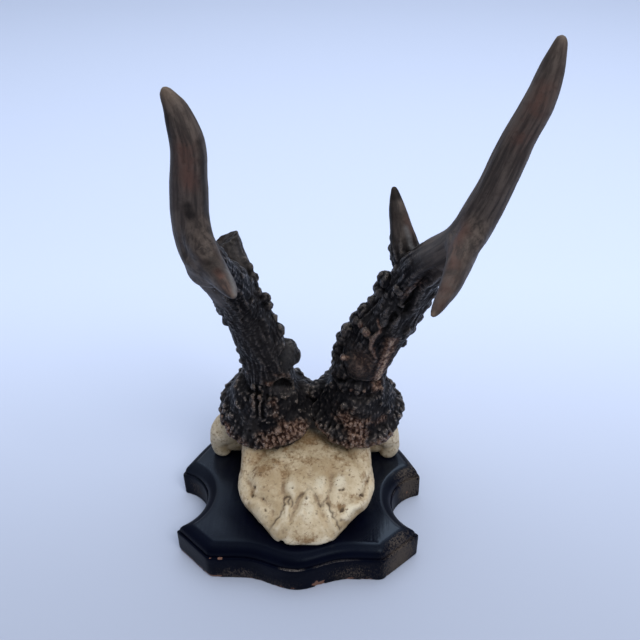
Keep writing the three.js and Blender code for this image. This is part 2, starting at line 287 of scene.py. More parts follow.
class Skin:
    """The corners of a mesh as an array, with the smoothing and pushing that shape them."""

    def __init__(self, obj):
        self.obj = obj
        mesh = obj.data
        self.p = fetched(mesh.vertices, "co", 3, float)
        self.edges = fetched(mesh.edges, "vertices", 2, np.int32)
        self.degree = np.bincount(self.edges.ravel(), minlength=len(self.p)).astype(float)
        self.values = {}

    def around(self, x):
        """The mean of each corner's neighbours."""
        one, other = self.edges.T
        columns = x.reshape(len(x), -1).T
        total = [np.bincount(one, c[other], len(x)) + np.bincount(other, c[one], len(x)) for c in columns]
        return (np.stack(total, 1) / self.degree[:, None]).reshape(x.shape)

    def smooth(self, rounds, share=0.5):
        share = np.reshape(share, (-1, 1))
        for _ in range(rounds):
            self.p = self.p + share * (self.around(self.p) - self.p)

    def normals(self):
        """Directions out of the skin, for a mesh of four-cornered faces."""
        a, b, c, d = fetched(self.obj.data.loops, "vertex_index", 1, np.int32).reshape(-1, 4).T
        n = np.cross(self.p[c] - self.p[a], self.p[d] - self.p[b])
        total = np.zeros_like(self.p)
        for corner in (a, b, c, d):
            np.add.at(total, corner, n)
        return total / np.maximum(np.linalg.norm(total, axis=1, keepdims=True), 1e-12)

    def push(self, amount):
        self.p = self.p + self.normals() * amount[:, None]

    def hollowness(self, rounds):
        """Positive in hollows, negative on bumps."""
        flat = self.p
        for _ in range(rounds):
            flat = flat + 0.6 * (self.around(flat) - flat)
        return ((flat - self.p) * self.normals()).sum(1)

    def done(self, material):
        """Writes the corners in metres, the values as attributes, and the material."""
        mesh = self.obj.data
        mesh.vertices.foreach_set("co", (self.p * MM).ravel())
        for name, x in self.values.items():
            kind, key = ("FLOAT_VECTOR", "vector") if x.ndim > 1 else ("FLOAT", "value")
            layer = mesh.attributes.new(name, kind, "POINT")
            layer.data.foreach_set(key, x.astype(np.float32).ravel())
        mesh.polygons.foreach_set("use_smooth", np.ones(len(mesh.polygons), dtype=bool))
        mesh.materials.clear()
        mesh.materials.append(material)
        mesh.update()
        return self.obj


# Materials. Noise scales are per metre, or per millimetre of the grain, and colours are linear.

RANGE_KEYS = ("Value", "From Min", "From Max", "To Min", "To Max")
# The sockets of a mix node that take and give colours.
MIX_SHARE, MIX_A, MIX_B, MIX_OUT = 0, 6, 7, 2


class Nodes:
    """Short names for building the node tree of a material or a world."""

    def __init__(self, owner, coordinates="Object"):
        owner.use_nodes = True
        self.owner = owner
        self.tree = owner.node_tree
        self.here = self.node("TexCoord", {})[coordinates]

    def node(self, kind, inputs, **settings):
        """The outputs of a new node."""
        made = self.tree.nodes.new("ShaderNode" + kind)
        for key, value in settings.items():
            setattr(made, key, value)
        for key, value in inputs.items():
            self.set(made.inputs[key], value)
        return made.outputs

    def set(self, socket, value):
        if isinstance(value, bpy.types.NodeSocket):
            self.tree.links.new(value, socket)
        elif socket.type == "RGBA":
            socket.default_value = (*value, 1)
        else:
            socket.default_value = value

    def value(self, name, output="Fac"):
        """An attribute of the mesh."""
        return self.node("Attribute", {}, attribute_name=name)[output]

    def noise(self, scale, detail, roughness, at=None):
        inputs = {"Vector": at or self.here, "Scale": scale, "Detail": detail, "Roughness": roughness}
        return self.node("TexNoise", inputs)["Fac"]

    def map(self, x, low, high, out_low=0, out_high=1, how="SMOOTHSTEP"):
        inputs = dict(zip(RANGE_KEYS, (x, low, high, out_low, out_high)))
        return self.node("MapRange", inputs, interpolation_type=how)["Result"]

    def maths(self, operation, *values):
        return self.node("Math", dict(enumerate(values)), operation=operation)["Value"]

    def plus(self, a, b):
        return self.maths("ADD", a, b)

    def times(self, a, b):
        return self.maths("MULTIPLY", a, b)

    def mix(self, share, a, b):
        return self.node("Mix", {MIX_SHARE: share, MIX_A: a, MIX_B: b}, data_type="RGBA")[MIX_OUT]

    def layers(self, colour, *rows):
        """A colour with others laid over it in turn, each with its share."""
        for share, over in rows:
            colour = self.mix(share, colour, over)
        return colour

    def stretched(self, factors):
        return self.node("Mapping", {"Vector": self.here, "Scale": factors})["Vector"]

    def bump(self, height, distance, strength):
        return self.node("Bump", {"Height": height, "Distance": distance, "Strength": strength})["Normal"]

    def finish(self, shader="Principled BSDF", **inputs):
        for key, value in inputs.items():
            self.set(self.tree.nodes[shader].inputs[key.replace("_", " ")], value)
        return self.owner


def antler_low(m, fine, hollow, collar):
    """Lower beams and burrs: painted shade makes them nearly black in the hollows; brown and tan where
    raised, partly the antler's own colour and partly painted highlight.
    """
    slate, umber, brown = (0.0044, 0.0044, 0.006), (0.02, 0.0178, 0.0178), (0.026, 0.0205, 0.0175)
    buff, rust, tan = (0.12, 0.084, 0.062), (0.078, 0.033, 0.021), (0.24, 0.144, 0.098)
    sand, cream, maroon = (0.35, 0.228, 0.165), (0.52, 0.37, 0.26), (0.038, 0.0165, 0.011)
    painted_glint_colour, black = (0.34, 0.28, 0.24), (0.0012, 0.001, 0.001)
    mark = m.value("tan")
    speckle = m.times(m.map(fine, 0.42, 0.66), m.map(collar, 0, 1, 0.5, 1))
    raised = m.map(m.plus(fine, m.times(hollow, -0.6)), 0.4, 0.66, 0.12, 1)
    marked = m.layers(
        m.mix(m.map(m.noise(420, 3, 0.6), 0.4, 0.6), rust, tan),
        (m.map(fine, 0.46, 0.64, 0, 0.8), sand),
        (m.map(mark, 1, 1.4, 0, 0.7), cream),
    )
    # Painted glints: small pale specks on raised parts, standing in for sparkles of light.
    painted_glint = m.times(m.map(m.noise(1500, 2, 0.5), 0.56, 0.66), m.map(hollow, -0.02, -0.18, 0, 0.7))
    return m.layers(
        m.mix(m.map(m.noise(75, 4, 0.55), 0.38, 0.66), slate, umber),
        # Raised parts brown and buff: partly the antler's rubbed colour, partly painted highlight.
        (m.map(hollow, -0.05, -0.26), m.mix(speckle, brown, buff)),
        (m.map(mark, 0.1, 0.8, 0, 0.8), maroon),
        (m.times(mark, raised), marked),
        # Painted glints laid on, strongest on the collar.
        (m.times(painted_glint, m.map(collar, 0, 1, 0.3, 1)), painted_glint_colour),
        # Painted shade: the hollows darkened to black, a little less on the tan marks.
        (m.times(m.map(hollow, 0.04, 0.22), m.map(mark, 0, 0.9, 1, 0.5)), black),
        # Dark marks: real dark streaks, and painted shade in the grooves and under the neck's lip.
        (m.map(m.value("dark_and_shade"), 0.2, 0.8, 0, 0.9), black),
    )


def antler_high(m, fine, grain):
    """Upper points: rubbed brown, reddish in places, with dark lines along them and pale at the tips."""
    dull, light, brown = (0.035, 0.028, 0.0255), (0.096, 0.075, 0.064), (0.046, 0.034, 0.03)
    red, black = (0.112, 0.056, 0.043), (0.0085, 0.0066, 0.0062)
    pale, fleck = (0.19, 0.135, 0.098), (0.018, 0.014, 0.012)
    streak = m.noise(0.55, 5, 0.62, at=grain)
    blotch = m.noise(190, 5, 0.62)
    broken = m.plus(m.times(m.plus(streak, -0.5), 1.3), m.times(m.plus(blotch, -0.5), 1.2))
    return m.layers(
        m.mix(m.map(streak, 0.36, 0.62), dull, light),
        (m.map(blotch, 0.46, 0.66, 0, 0.7), brown),
        (m.times(m.value("red"), m.map(m.plus(blotch, streak), 0.78, 1.12, 0.15, 0.9)), red),
        (m.map(m.plus(m.value("dark_and_shade"), broken), 0.2, 1.1, 0, 0.9), black),
        (m.value("tip"), pale),
        (m.map(fine, 0.56, 0.72, 0, 0.35), fleck),
    )


def antler_material():
    m = Nodes(bpy.data.materials.new("antler"))
    grey_and_sheen, warm = (0.15, 0.146, 0.146), (1, 0.92, 0.88)
    grain = m.value("grain", "Vector")
    rough = m.value("rough")
    hollow = m.value("hollow")
    fine = m.noise(900, 4, 0.6)
    colour = m.mix(rough, antler_high(m, fine, grain), antler_low(m, fine, hollow, m.value("collar")))
    # Grey patches on the beams, and narrow lines of painted sheen along the tine rims.
    colour = m.mix(m.times(m.value("grey_and_sheen"), m.map(fine, 0.36, 0.6, 0.7, 1)), colour, grey_and_sheen)
    bark = m.plus(m.noise(1500, 5, 0.65), m.times(m.noise(1.6, 4, 0.6, at=grain), 1.2))
    normal = m.bump(bark, 0.0006, m.map(rough, 0, 1, 0.1, 0.7))
    bump = m.times(hollow, rough)
    gloss = m.map(bump, 0, -0.25, 0.52, 0.24)
    shine = m.maths("MAXIMUM", m.map(bump, 0.02, -0.22, 0.07, 0.6), m.map(rough, 0, 1, 0.13, 0))
    looks = {"Base_Color": colour, "Roughness": gloss, "Normal": normal, "Specular_Tint": warm}
    return m.finish(Specular_IOR_Level=shine, **looks)


def bone_material():
    m = Nodes(bpy.data.materials.new("bone"))
    straw, ivory, highlight_white = (0.41, 0.3, 0.172), (0.6, 0.492, 0.335), (0.75, 0.67, 0.52)
    chalk_and_highlight, ochre, tan = (0.72, 0.65, 0.5), (0.36, 0.245, 0.13), (0.36, 0.25, 0.13)
    shade_and_soil, rust = (0.27, 0.185, 0.105), (0.235, 0.135, 0.058)
    peat, seam = (0.135, 0.08, 0.042), (0.05, 0.029, 0.017)
    stain = m.value("stain")
    hollow = m.value("hollow")
    mottle = m.noise(230, 7, 0.72)
    speck = m.noise(800, 5, 0.68)
    uneven = m.plus(mottle, -0.5)
    grainy = m.plus(uneven, m.times(m.plus(speck, -0.5), 1.1))
    patch = m.plus(m.times(stain, 0.75), m.times(grainy, 1.6))
    colour = m.layers(
        m.mix(m.map(m.noise(60, 6, 0.68), 0.38, 0.62), straw, ivory),
        # Painted highlight: raised bumps whitened.
        (m.map(hollow, -0.08, -0.5, 0, 0.65), highlight_white),
        (m.map(mottle, 0.5, 0.66, 0, 0.75), ochre),
        # Pale patches of the bone, with painted highlights on the lit bumps and eye rims.
        (m.map(m.plus(m.value("pale"), m.times(uneven, 2.2)), 0.1, 1.05, 0, 0.65), chalk_and_highlight),
        # Darker brown in the hollows: painted shade, with some soil in them.
        (m.map(m.plus(hollow, uneven), 0.04, 0.38, 0, 0.85), shade_and_soil),
        (m.map(m.plus(stain, m.times(uneven, 1.5)), 0.25, 1.15, 0, 0.7), tan),
        (m.map(patch, 0.22, 0.85, 0, 0.85), rust),
        (m.map(m.plus(speck, m.times(stain, 0.05)), 0.59, 0.7, 0, 0.8), peat),
        # Dark seams, pits and pores, with painted shade between the burrs and along the foot.
        (m.value("dark_and_shade"), seam),
    )
    normal = m.bump(m.plus(speck, m.times(mottle, 1.4)), 0.0004, 0.5)
    return m.finish(Base_Color=colour, Roughness=0.55, Normal=normal, Specular_IOR_Level=0.35)


def lacquer_material():
    m = Nodes(bpy.data.materials.new("lacquer"))
    ink, blue, film_and_reflection = (0.0007, 0.001, 0.0048), (0.0013, 0.0019, 0.0075), (0.017, 0.021, 0.03)
    dust, scratch_and_highlight, wood = (0.075, 0.06, 0.05), (0.21, 0.185, 0.17), (0.2, 0.105, 0.075)
    cool = (0.62, 0.79, 1)
    wear = m.value("wear")
    polish = m.value("polish")
    brush = m.noise(520, 3, 0.5, at=m.stretched((1, 0.07, 1)))
    speck = m.noise(1600, 5, 0.78, at=m.stretched((1, 1, 0.45)))
    cloud = m.noise(70, 4, 0.6)
    dusty = m.map(m.plus(speck, m.times(m.plus(wear, -0.5), 0.34)), 0.46, 0.64)
    dusty = m.times(dusty, m.map(wear, 0.05, 0.6))
    bare = m.plus(m.value("bare"), m.times(m.plus(speck, -0.5), 1.1))
    colour = m.layers(
        m.mix(m.map(cloud, 0.35, 0.7), ink, blue),
        # Haze: a pale bluish film, partly painted reflection of the bright surround.
        (m.times(m.value("haze_and_reflection"), m.map(cloud, 0.2, 0.8, 0.6, 1)), film_and_reflection),
        (dusty, dust),
        # Pale scuffs on the edges, partly a painted highlight.
        (m.times(m.value("scuff_and_highlight"), m.map(speck, 0.4, 0.6)), scratch_and_highlight),
        (m.map(bare, 0.42, 0.56), wood),
    )
    rough = m.plus(m.map(polish, 0, 1, 0.36, 0.15), m.times(dusty, 0.35))
    normal = m.bump(m.plus(brush, m.times(cloud, 0.8)), 0.0005, 0.16)
    shine = m.map(polish, 0, 1, 0.05, 0.42)
    looks = {"Base_Color": colour, "Roughness": rough, "Normal": normal, "Specular_Tint": cool}
    return m.finish(Specular_IOR_Level=shine, **looks)


# Shield.

SHIELD_TOP = 17.5
SKULL_X = 3.6
# Right half of the outline: ends of its straight pieces, pulls of its curves, radius of the notch.
UPPER_EAR = np.array([52.2, -42.2])
LOWER_EAR = np.array([55.6, -9.6])
SHOULDER = np.array([36.3, -56.4])
KEEL_HALF = 24
KEEL_PULLS = (8, 13)
TOP_Y = -62
TIP = np.array([0, 61])
PULLS = np.array([[46, 11], [31, 35]])
NOTCH = 17
MIDDLE = np.array([0, -23])
KEEL_POINTS, LEVEL_POINTS, SLOPE_POINTS, NOTCH_POINTS, FLANK_POINTS = 34, 14, 24, 54, 70
WALL = [(0, height) for height in (0.6, 1.2, *range(2, 11), 11.3)]
# The edge from the back upwards: inset and height.
SHIELD_EDGE = [
    (0.7, 0), (0.2, 0.15), *WALL, (0.06, 11.9), (0.2, 12.25), (0.5, 12.38), (0.85, 12.15), (1.0, 12.2),
    (0.95, 12.7), (0.85, 13.4), (0.95, 14.2), (1.3, 15.0), (1.85, 15.75), (2.55, 16.3), (3.3, 16.68),
    (3.95, 16.88), (4.4, 17.0), (4.8, 17.16), (5.1, 17.34), (5.5, 17.45), (6.0, 17.5),
]
# Rings across the top and the back, as shares of the way out from the middle.
TOP_SHARES = (0.97, 0.93, 0.88, 0.8, 0.7, 0.6, 0.5, 0.4, 0.3, 0.2, 0.1, 0.04)
BACK_SHARE = 0.5
# The scuffed edges above the wall and round the flat top, partly a painted highlight along them: height,
# width.
ARRIS_Z, ARRIS_WIDTH = 12.3, 0.16
RIM_Z, RIM_WIDTH = 17.12, 0.14
WAVE, CHIP_DEPTH = 0.16, 0.4
# Heights between which the moulding and the flat top begin.
MOULDING, ON_TOP = (12.5, 15), (16.9, 17.45)
# Chips down to the wood: place, size.
CHIPS = [
    ((-31.2, -56.4, 12.3), 1.3), ((8.6, -60.4, 1.6), 2), ((10.8, -59.8, 0.4), 2.4),
    ((9.2, -60.2, 4.6), 0.9), ((-35.5, -56.6, 12.2), 0.7), ((49.5, -12, 5), 0.8),
]
# Dusty wear, haze that is partly painted reflection of the bright surround, and a dull patch on the
# lacquer: place, size, strength.
WEAR = [
    ((44, -50, 6), (12, 10, 13), 1), ((43, -49, 15), (9, 9, 5), 0.7), ((50, -12, 8), (9, 7, 12), 0.95),
    ((47, -9, 16), (9, 8, 5), 0.7), ((24, -57, 4), (15, 8, 8), 0.6), ((-48, -13, 6), (8, 7, 7), 0.55),
    ((-5, -58, 2), (16, 8, 6), 0.5), ((-24, -57, 2), (14, 8, 6), 0.66),
]
HAZE_AND_REFLECTION = [
    ((44, -28, 17.5), (15, 22, 6), 0.9),
    ((-44, -28, 17.5), (12, 16, 6), 0.35),
    ((-47, -6, 17.5), (10, 9, 6), 0.6),
]
EAR_HAZE_AND_REFLECTION = [((-50, -12, 14.8), (10, 9, 4), 0.6)]
CORNER_HAZE_AND_REFLECTION = [((39, -43, 17.5), (5, 9, 2), 0.9)]
DULL = [((-24, -50, 17), (14, 10, 8), 0.3)]
# Close to the skull the lacquer has no painted reflection and little polish: middle y, half width, half
# length.
BY_SKULL = (-25, 30, 29)


def bezier(a, b, c, d, count):
    t = np.linspace(0, 1, count)[:, None]
    return a * (1 - t) ** 3 + 3 * b * t * (1 - t) ** 2 + 3 * c * t**2 * (1 - t) + d * t**3


def meet(start, along, centre, radius):
    """Where a straight line first meets a circle."""
    reach = start - centre
    half = reach @ along
    return start + along * (-half - math.sqrt(half**2 - reach @ reach + radius**2))


def left_of(along):
    return np.array([-along[1], along[0]])


def shield_ring(inset):
    """The shield's outline drawn in by an inset, from the middle of its broad end."""
    chord = LOWER_EAR - UPPER_EAR
    back = math.sqrt(NOTCH**2 - chord @ chord / 4)
    centre = (UPPER_EAR + LOWER_EAR) / 2 + unit([chord[1], -chord[0]]) * back
    radius = NOTCH + inset
    level = SHOULDER[1] + inset
    slope = unit(UPPER_EAR - SHOULDER)
    on_slope = UPPER_EAR + left_of(slope) * inset
    corner = on_slope + slope * (level - on_slope[1]) / slope[1]
    upper = meet(corner, slope, centre, radius)
    rise = unit(PULLS[0] - LOWER_EAR)
    flank = PULLS[0] + left_of(rise) * inset
    lower = meet(flank, -rise, centre, radius)
    run = unit(TIP - PULLS[1])
    pull = PULLS[1] + left_of(run) * inset
    end = pull - run * pull[0] / run[0]
    crown, keel = np.array([0, TOP_Y + inset]), np.array([KEEL_HALF, level])
    pulls = np.array([KEEL_PULLS[0], crown[1]]), np.array([KEEL_PULLS[1], level])
    ends = [np.arctan2(*(at - centre)[::-1]) % FULL_TURN for at in (upper, lower)]
    turn = np.linspace(*ends, NOTCH_POINTS)
    half = np.vstack([
        bezier(crown, *pulls, keel, KEEL_POINTS)[:-1],
        np.linspace(keel, corner, LEVEL_POINTS)[:-1],
        np.linspace(corner, upper, SLOPE_POINTS)[:-1],
        centre + radius * np.stack([np.cos(turn), np.sin(turn)], 1),
        bezier(lower, flank, pull, end, FLANK_POINTS)[1:],
    ])
    ring = np.vstack([half, half[-2:0:-1] * (-1, 1)])
    for _ in range(2):
        ring = 0.5 * ring + 0.25 * (np.roll(ring, 1, 0) + np.roll(ring, -1, 0))
    return ring


def drawn_in(ring, share):
    """A ring of the shield drawn in towards its middle."""
    drawn = ring.copy()
    drawn[:, :2] = MIDDLE + (ring[:, :2] - MIDDLE) * share
    return drawn


def move_out(p, amount):
    p[:, :2] += unit(p[:, :2] - MIDDLE + 1e-9) * amount[:, None]


def bare_wood(p):
    """Chips, and the rubbed lower edge of the broad end."""
    x, y, z = p.T
    ragged = 0.55 * fbm(p * 0.9, 3, 31)
    chipped = np.max([ramp(spot(p, at, size) + ragged, 0.5, 0.72) for at, size in CHIPS], 0)
    rubbed = ramp(fbm(p * 0.2, 3, 5) - 0.014 * x, 0, 0.45)
    rubbed = rubbed + ramp(x, 14, 22) * ramp(fbm(p * 0.5, 3, 6), 0, 0.4)
    lower_edge = ramp(-z, -2.4, -0.6) * np.clip(rubbed, 0, 1) * ramp(-y, 30, 44)
    return np.maximum(chipped, 0.85 * lower_edge)


def lacquer_values(p):
    """Wear, haze with painted reflection, scuffed edges with painted highlight, and polish of the lacquer.
    """
    x, y, z = p.T
    on_top = ramp(z, *ON_TOP)
    wear = np.maximum(0.05 * ramp(-z, -15, -11.5), spots(p, WEAR)) * (1 - ramp(z, 16.7, 17.3))
    scraped = ramp(x, -7, -4) * ramp(-x, -5, -2)
    along = np.maximum(scraped, 0.35 * ramp(fbm(p * 0.09, 3, 9), 0.2, 0.5))
    # Pale scuffs along the arris and the top's rim, partly a painted highlight on the edges.
    arris = bell((z - ARRIS_Z) / ARRIS_WIDTH) * along
    rim = bell((z - RIM_Z) / RIM_WIDTH) * ramp(fbm(p * 0.12, 3, 19), 0.15, 0.5)
    middle_y, half_width, half_length = BY_SKULL
    by_skull = 1 - ramp(np.hypot((x - SKULL_X) / half_width, (y - middle_y) / half_length), 1, 1.42)
    by_skull *= ramp(-y, 24, 40)
    # Haze, partly painted reflection, kept off the lacquer next to the skull.
    haze_and_reflection = sum(much * spot(p, at, size) for at, size, much in HAZE_AND_REFLECTION) * on_top
    haze_and_reflection = np.maximum(haze_and_reflection, spots(p, EAR_HAZE_AND_REFLECTION)) * (1 - by_skull)
    haze_and_reflection = np.maximum(haze_and_reflection, spots(p, CORNER_HAZE_AND_REFLECTION) * on_top)
    even = 0.62 + 0.3 * ramp(x, -10, 36) + 0.28 * fbm(p * 0.05, 2, 41) - spots(p, DULL)
    even *= 1 - 0.9 * by_skull
    polish = (0.25 * ramp(z, *MOULDING) + 0.75 * on_top) * even
    return {"wear": wear, "haze_and_reflection": haze_and_reflection, "scuff_and_highlight": np.maximum(0.8 * arris, 0.35 * rim), "polish": polish}


def shield():
    edge = []
    for inset, height in SHIELD_EDGE:
        ring = shield_ring(inset)
        edge.append(np.column_stack([ring, np.full(len(ring), height)]))
    rings = [drawn_in(edge[0], BACK_SHARE), *edge, *[drawn_in(edge[-1], share) for share in TOP_SHARES]]
    skin = Skin(piece("shield", [loft(rings, (*MIDDLE, 0), (*MIDDLE, SHIELD_TOP))]))
    p = skin.p
    move_out(p, WAVE * fbm(p * 0.09, 3, 11) * ramp(p[:, 2], 0, 3))
    bare = bare_wood(p)
    move_out(p, -CHIP_DEPTH * bare)
    skin.values = {"bare": bare, **lacquer_values(p)}
    return skin.done(lacquer_material())


# Skull cap.

# Along the skull: y, half width, height of the roof.
STATIONS = [
    (-53.3, 7, 20.9), (-52, 11.6, 23.2), (-50, 14.2, 25.6), (-47, 17, 28), (-42, 21.5, 31),
    (-36, 26.9, 34), (-27, 29.8, 36.5), (-16, 28.6, 37.6), (-5, 26, 38.2), (7, 28.5, 38.4), (20, 29, 35.5),
    (33, 25, 30), (43, 17, 24.4), (49, 13.5, 21),
]
# The braincase: where it is widest as a share of its height, how it tucks in below that, and how far its
# round would reach under the shield's top, where it is cut flat.
WIDEST, TUCK, BELOW = 0.42, 0.9, 6
BRAINCASE_ROWS, BRAINCASE_AROUND, PEDICLE_AROUND = 110, 120, 48
# Under the burrs: distance down from the middle of the burr, radius.
PEDICLE = ((24, 13.6), (20, 13.2), (15, 12.4), (11, 12), (8, 12), (3.9, 12.2))
# The eye rims to both sides of an x: rows of x, y, z, radius, and a ball at each: place, size.
EYE_RIM_X = 1.7
EYE_RIM = [
    (14, 10, 32, 9), (28, 5, 33, 8.4), (36, 1.5, 31, 7.4), (39.6, 0.5, 25, 4.7), (38.8, 0.5, 20, 4.2),
    (37.4, 0.5, 17.4, 3.6),
]
EYE_WING = ((32, 2.2, 27.6), (8.4, 5.8, 9.4))
# The eye sockets, and small gaps under the near edge: middle, size.
SOCKET = ((38, 20, 24), (15, 13.5, 11))
GAPS = [((-4.3, -53.3, 17.4), (2.5, 3.6, 2.3)), ((12.8, -53, 17.4), (2.5, 3.6, 2.2))]
# The upright sides of the skull below the burrs: x, y, z, radius.
WALLS = [
    [
        (-18.6, -4, 41, 5), (-19.6, -12, 36.4, 5.4), (-20.6, -19, 31, 4.8), (-20.8, -27, 27, 3.6),
        (-19.6, -33, 25, 2.4),
    ],
    [(26, -4, 41, 5), (26.2, -12, 36.4, 5), (27.6, -19, 31, 4.6), (28, -27, 27, 3.6), (26.8, -33, 25, 2.4)],
]
# Seams: strength, line.
SUTURES = [
    (0.7, [
        (5.1, -35.4, 34.1), (6.2, -36.5, 33.6), (4.5, -37.5, 33.2), (2.5, -39.5, 32.4), (0.9, -40.7, 31.7),
        (0.1, -42.1, 30.9), (-0.8, -42.4, 30.7),
    ]),
    (1, [
        (-3.6, -40, 31.7), (-2.6, -40.1, 31.7), (-1.6, -41, 31.3), (-1, -42.2, 30.7), (-1.5, -43.6, 29.9),
    ]),
    (0.9, [(-2.6, -40.9, 31.3), (-3.2, -41.6, 30.9), (-2.6, -42.4, 30.4)]),
    (1, [
        (-3.6, -40, 31.7), (-4.6, -40.5, 31.3), (-5, -41.7, 30.6), (-4.3, -42.5, 30.2),
        (-5.4, -43.4, 29.6), (-5.1, -44.4, 29), (-5.8, -45, 28.4), (-6.3, -46.3, 27.3),
        (-8.1, -47.3, 25.9), (-9.2, -48.4, 24.3), (-10.6, -48.8, 22.1),
    ]),
    (0.6, [(6.2, -36.5, 33.6), (8, -38.7, 32.6), (9.1, -40.5, 31.6), (9.6, -42, 30.7)]),
    (1, [
        (9.6, -42, 30.7), (10.5, -43.4, 29.8), (10.9, -42.2, 30.5), (11.6, -43.2, 29.9),
        (11.8, -41.6, 30.7), (13, -40.5, 31.2),
    ]),
    (0.9, [
        (13.1, -42, 30.3), (14.1, -42.7, 29.7), (14.4, -44.1, 28.7), (15.7, -45, 27.8),
        (15.4, -45.9, 27.1), (17.2, -46.7, 25.7), (17.6, -47.9, 24.1), (18.9, -48.2, 21.8),
    ]),
    (0.32, [
        (-19.2, -36.2, 29.6), (-18.4, -37.6, 28.9), (-16.2, -38.6, 29.4), (-14.2, -39.5, 29.8),
        (-12.4, -41.2, 29.2),
    ]),
    (0.32, [(30.2, -29.8, 29.4), (28.6, -34.8, 28.7), (26.4, -37.4, 28.8), (23.6, -39.4, 29)]),
]
SEAM_WIDTH, SEAM_DEPTH, PIT_DEPTH, PORE_DEPTH = 0.4, 0.5, 0.9, 0.22
# The raised plate at the back of the braincase: its point, and the two ends of its near edge.
PLATE = [(5.4, -36.4), (-5.2, -53.5), (15.4, -53.5)]
PLATE_HEIGHT, SKULL_SWELL, SKULL_ROUGH = 1.3, 0.6, 0.28
# Ridges and hollows of the braincase: height, width, line.
RELIEF = [
    (0.7, 1.9, [(-3.4, -44.5, 29), (-3.9, -47, 27.4), (-6.8, -49.8, 23.7)]),
    (0.7, 1.7, [(12.4, -44.6, 28.9), (14.4, -47.4, 26), (16, -49, 23)]),
    (-0.6, 1.7, [(2.2, -40.1, 32), (0.1, -44.3, 29.7), (-1.4, -47.5, 27.2)]),
    (-0.6, 1.7, [(7.9, -40.6, 31.7), (9.5, -43.5, 29.9), (11.3, -46.1, 27.9)]),
    (-0.8, 1.8, [
        (-21.9, -29.7, 30.3), (-19.3, -34.4, 30.3), (-18.8, -37.3, 29), (-13.9, -39.4, 29.9),
        (-11.3, -42.1, 29), (-9.4, -44.9, 27.6),
    ]),
    (-1.1, 1.7, [
        (30.4, -29, 29.5), (28.5, -35.1, 28.6), (25.7, -37.8, 28.9), (22.6, -40.4, 28.7),
        (19.5, -42.9, 28),
    ]),
    (-0.9, 1.6, [(14.9, -29.9, 34.9), (14.2, -36.9, 32.7), (13.9, -41.4, 30.5)]),
    (-0.8, 1.8, [(-5.3, -26.4, 35.8), (-5.4, -37.3, 32.8), (-4.8, -40, 31.6)]),
    (1, 3.4, [(18.4, -32.9, 33.5), (20.4, -28, 34.2)]),
    (1.6, 2.4, [(26, -39.3, 27.5), (22.6, -42, 27.5), (20.5, -44.7, 26)]),
    (1.2, 4.2, [(-14.7, -31, 32.9), (-9.4, -27, 35.3)]),
    (0.5, 2.8, [(-1.9, -34.4, 34.1), (-1.4, -38, 32.8)]),
    (0.5, 2.8, [(10, -33.6, 34.4), (9.3, -36.6, 33.3)]),
    (-0.9, 4, [(4.5, -14, 37.6), (4.5, -27, 36.2)]),
]
# Pits: place, size.
PITS = [
    ((-18, -34.2, 31), 0.6), ((-18.6, -37.4, 29), 0.7), ((-14.1, -39.6, 29.7), 0.55),
    ((-12.6, -43.8, 27.2), 0.5), ((18.6, -36.2, 32.1), 0.6), ((19.6, -35.9, 32), 0.55),
    ((27.6, -36.2, 28.5), 0.65), ((30.3, -29.2, 29.6), 0.5), ((19.2, -43.3, 27.9), 0.75),
    ((4.3, -40.2, 32), 0.5), ((-1.7, -36.3, 33.5), 0.45), ((22.5, -28.6, 33.6), 0.4),
    ((-13.6, -35.1, 32.1), 0.45),
]
# Brown stains, and pale patches, some of them painted highlights on bumps and eye rims that face the light:
# place, size, strength.
STAINS = [
    ((4.6, -52.7, 22.2), (5, 2.9, 2.9), 1.35), ((-14.5, -27.3, 34), (8, 5, 6), 1),
    ((-18.9, -20.4, 33), (5, 4, 4), 0.9), ((-4.9, -30.5, 35), (2.6, 5, 4), 0.95),
    ((-8.8, -25, 35.6), (5, 4, 4), 0.8), ((-3.3, -22.7, 36.6), (6, 3, 4), 0.7),
    ((5.5, -24, 36.6), (8, 4, 4), 0.75), ((11.9, -27.6, 35.8), (4, 3, 4), 0.65),
    ((16.1, -22.4, 35.9), (6, 4, 4), 0.7), ((19.4, -25.6, 34.9), (4, 4, 4), 0.5),
    ((4.9, -11, 37.7), (26, 5.5, 8), 0.95), ((17.5, -17.7, 35.9), (5, 3, 4), 0.6),
    ((-5.8, -16.9, 36.8), (5, 3, 4), 0.6), ((-18.6, -36, 29.8), (2.4, 3, 3), 0.8),
    ((25.7, -37.8, 28.9), (4, 2.2, 3), 0.7), ((19.1, -41.9, 29), (3, 2, 2.5), 0.8),
    ((16.4, -46.4, 26), (1.6, 2.4, 3), 0.6), ((5, -43, 30.4), (2.6, 4, 4), 0.55),
    ((6, -48.6, 26), (3.4, 2.6, 3), 0.5),
]
PALE_PATCHES_AND_HIGHLIGHTS = [
    ((-1.7, -36.4, 33.5), (2.6, 3.6, 3), 0.8), ((9.8, -35, 34), (3.2, 3.6, 3), 0.8),
    ((18.3, -32.4, 33.6), (2.6, 3.4, 3), 1), ((22.6, -42, 27.5), (3.4, 3, 3), 1),
    ((-3.6, -46.8, 27.5), (2, 4, 4), 0.75), ((13.9, -47.6, 26), (1.6, 4, 4), 0.75),
    ((5.6, -46, 28.8), (2.4, 3.4, 4), 1), ((-15.5, -43, 25), (5, 4, 4), 0.45),
    ((30.5, -25.5, 29.9), (2, 3, 3), 0.6), ((42, 0, 26), (9, 12, 14), 1), ((-38, 0, 26), (9, 12, 14), 0.7),
]
# An even brown away from the near end.
FAR_BROWN = 0.42
# Painted shade in the cleft between the burrs.
CLEFT_SHADE = ((5, 1, 40), (8, 8, 6))


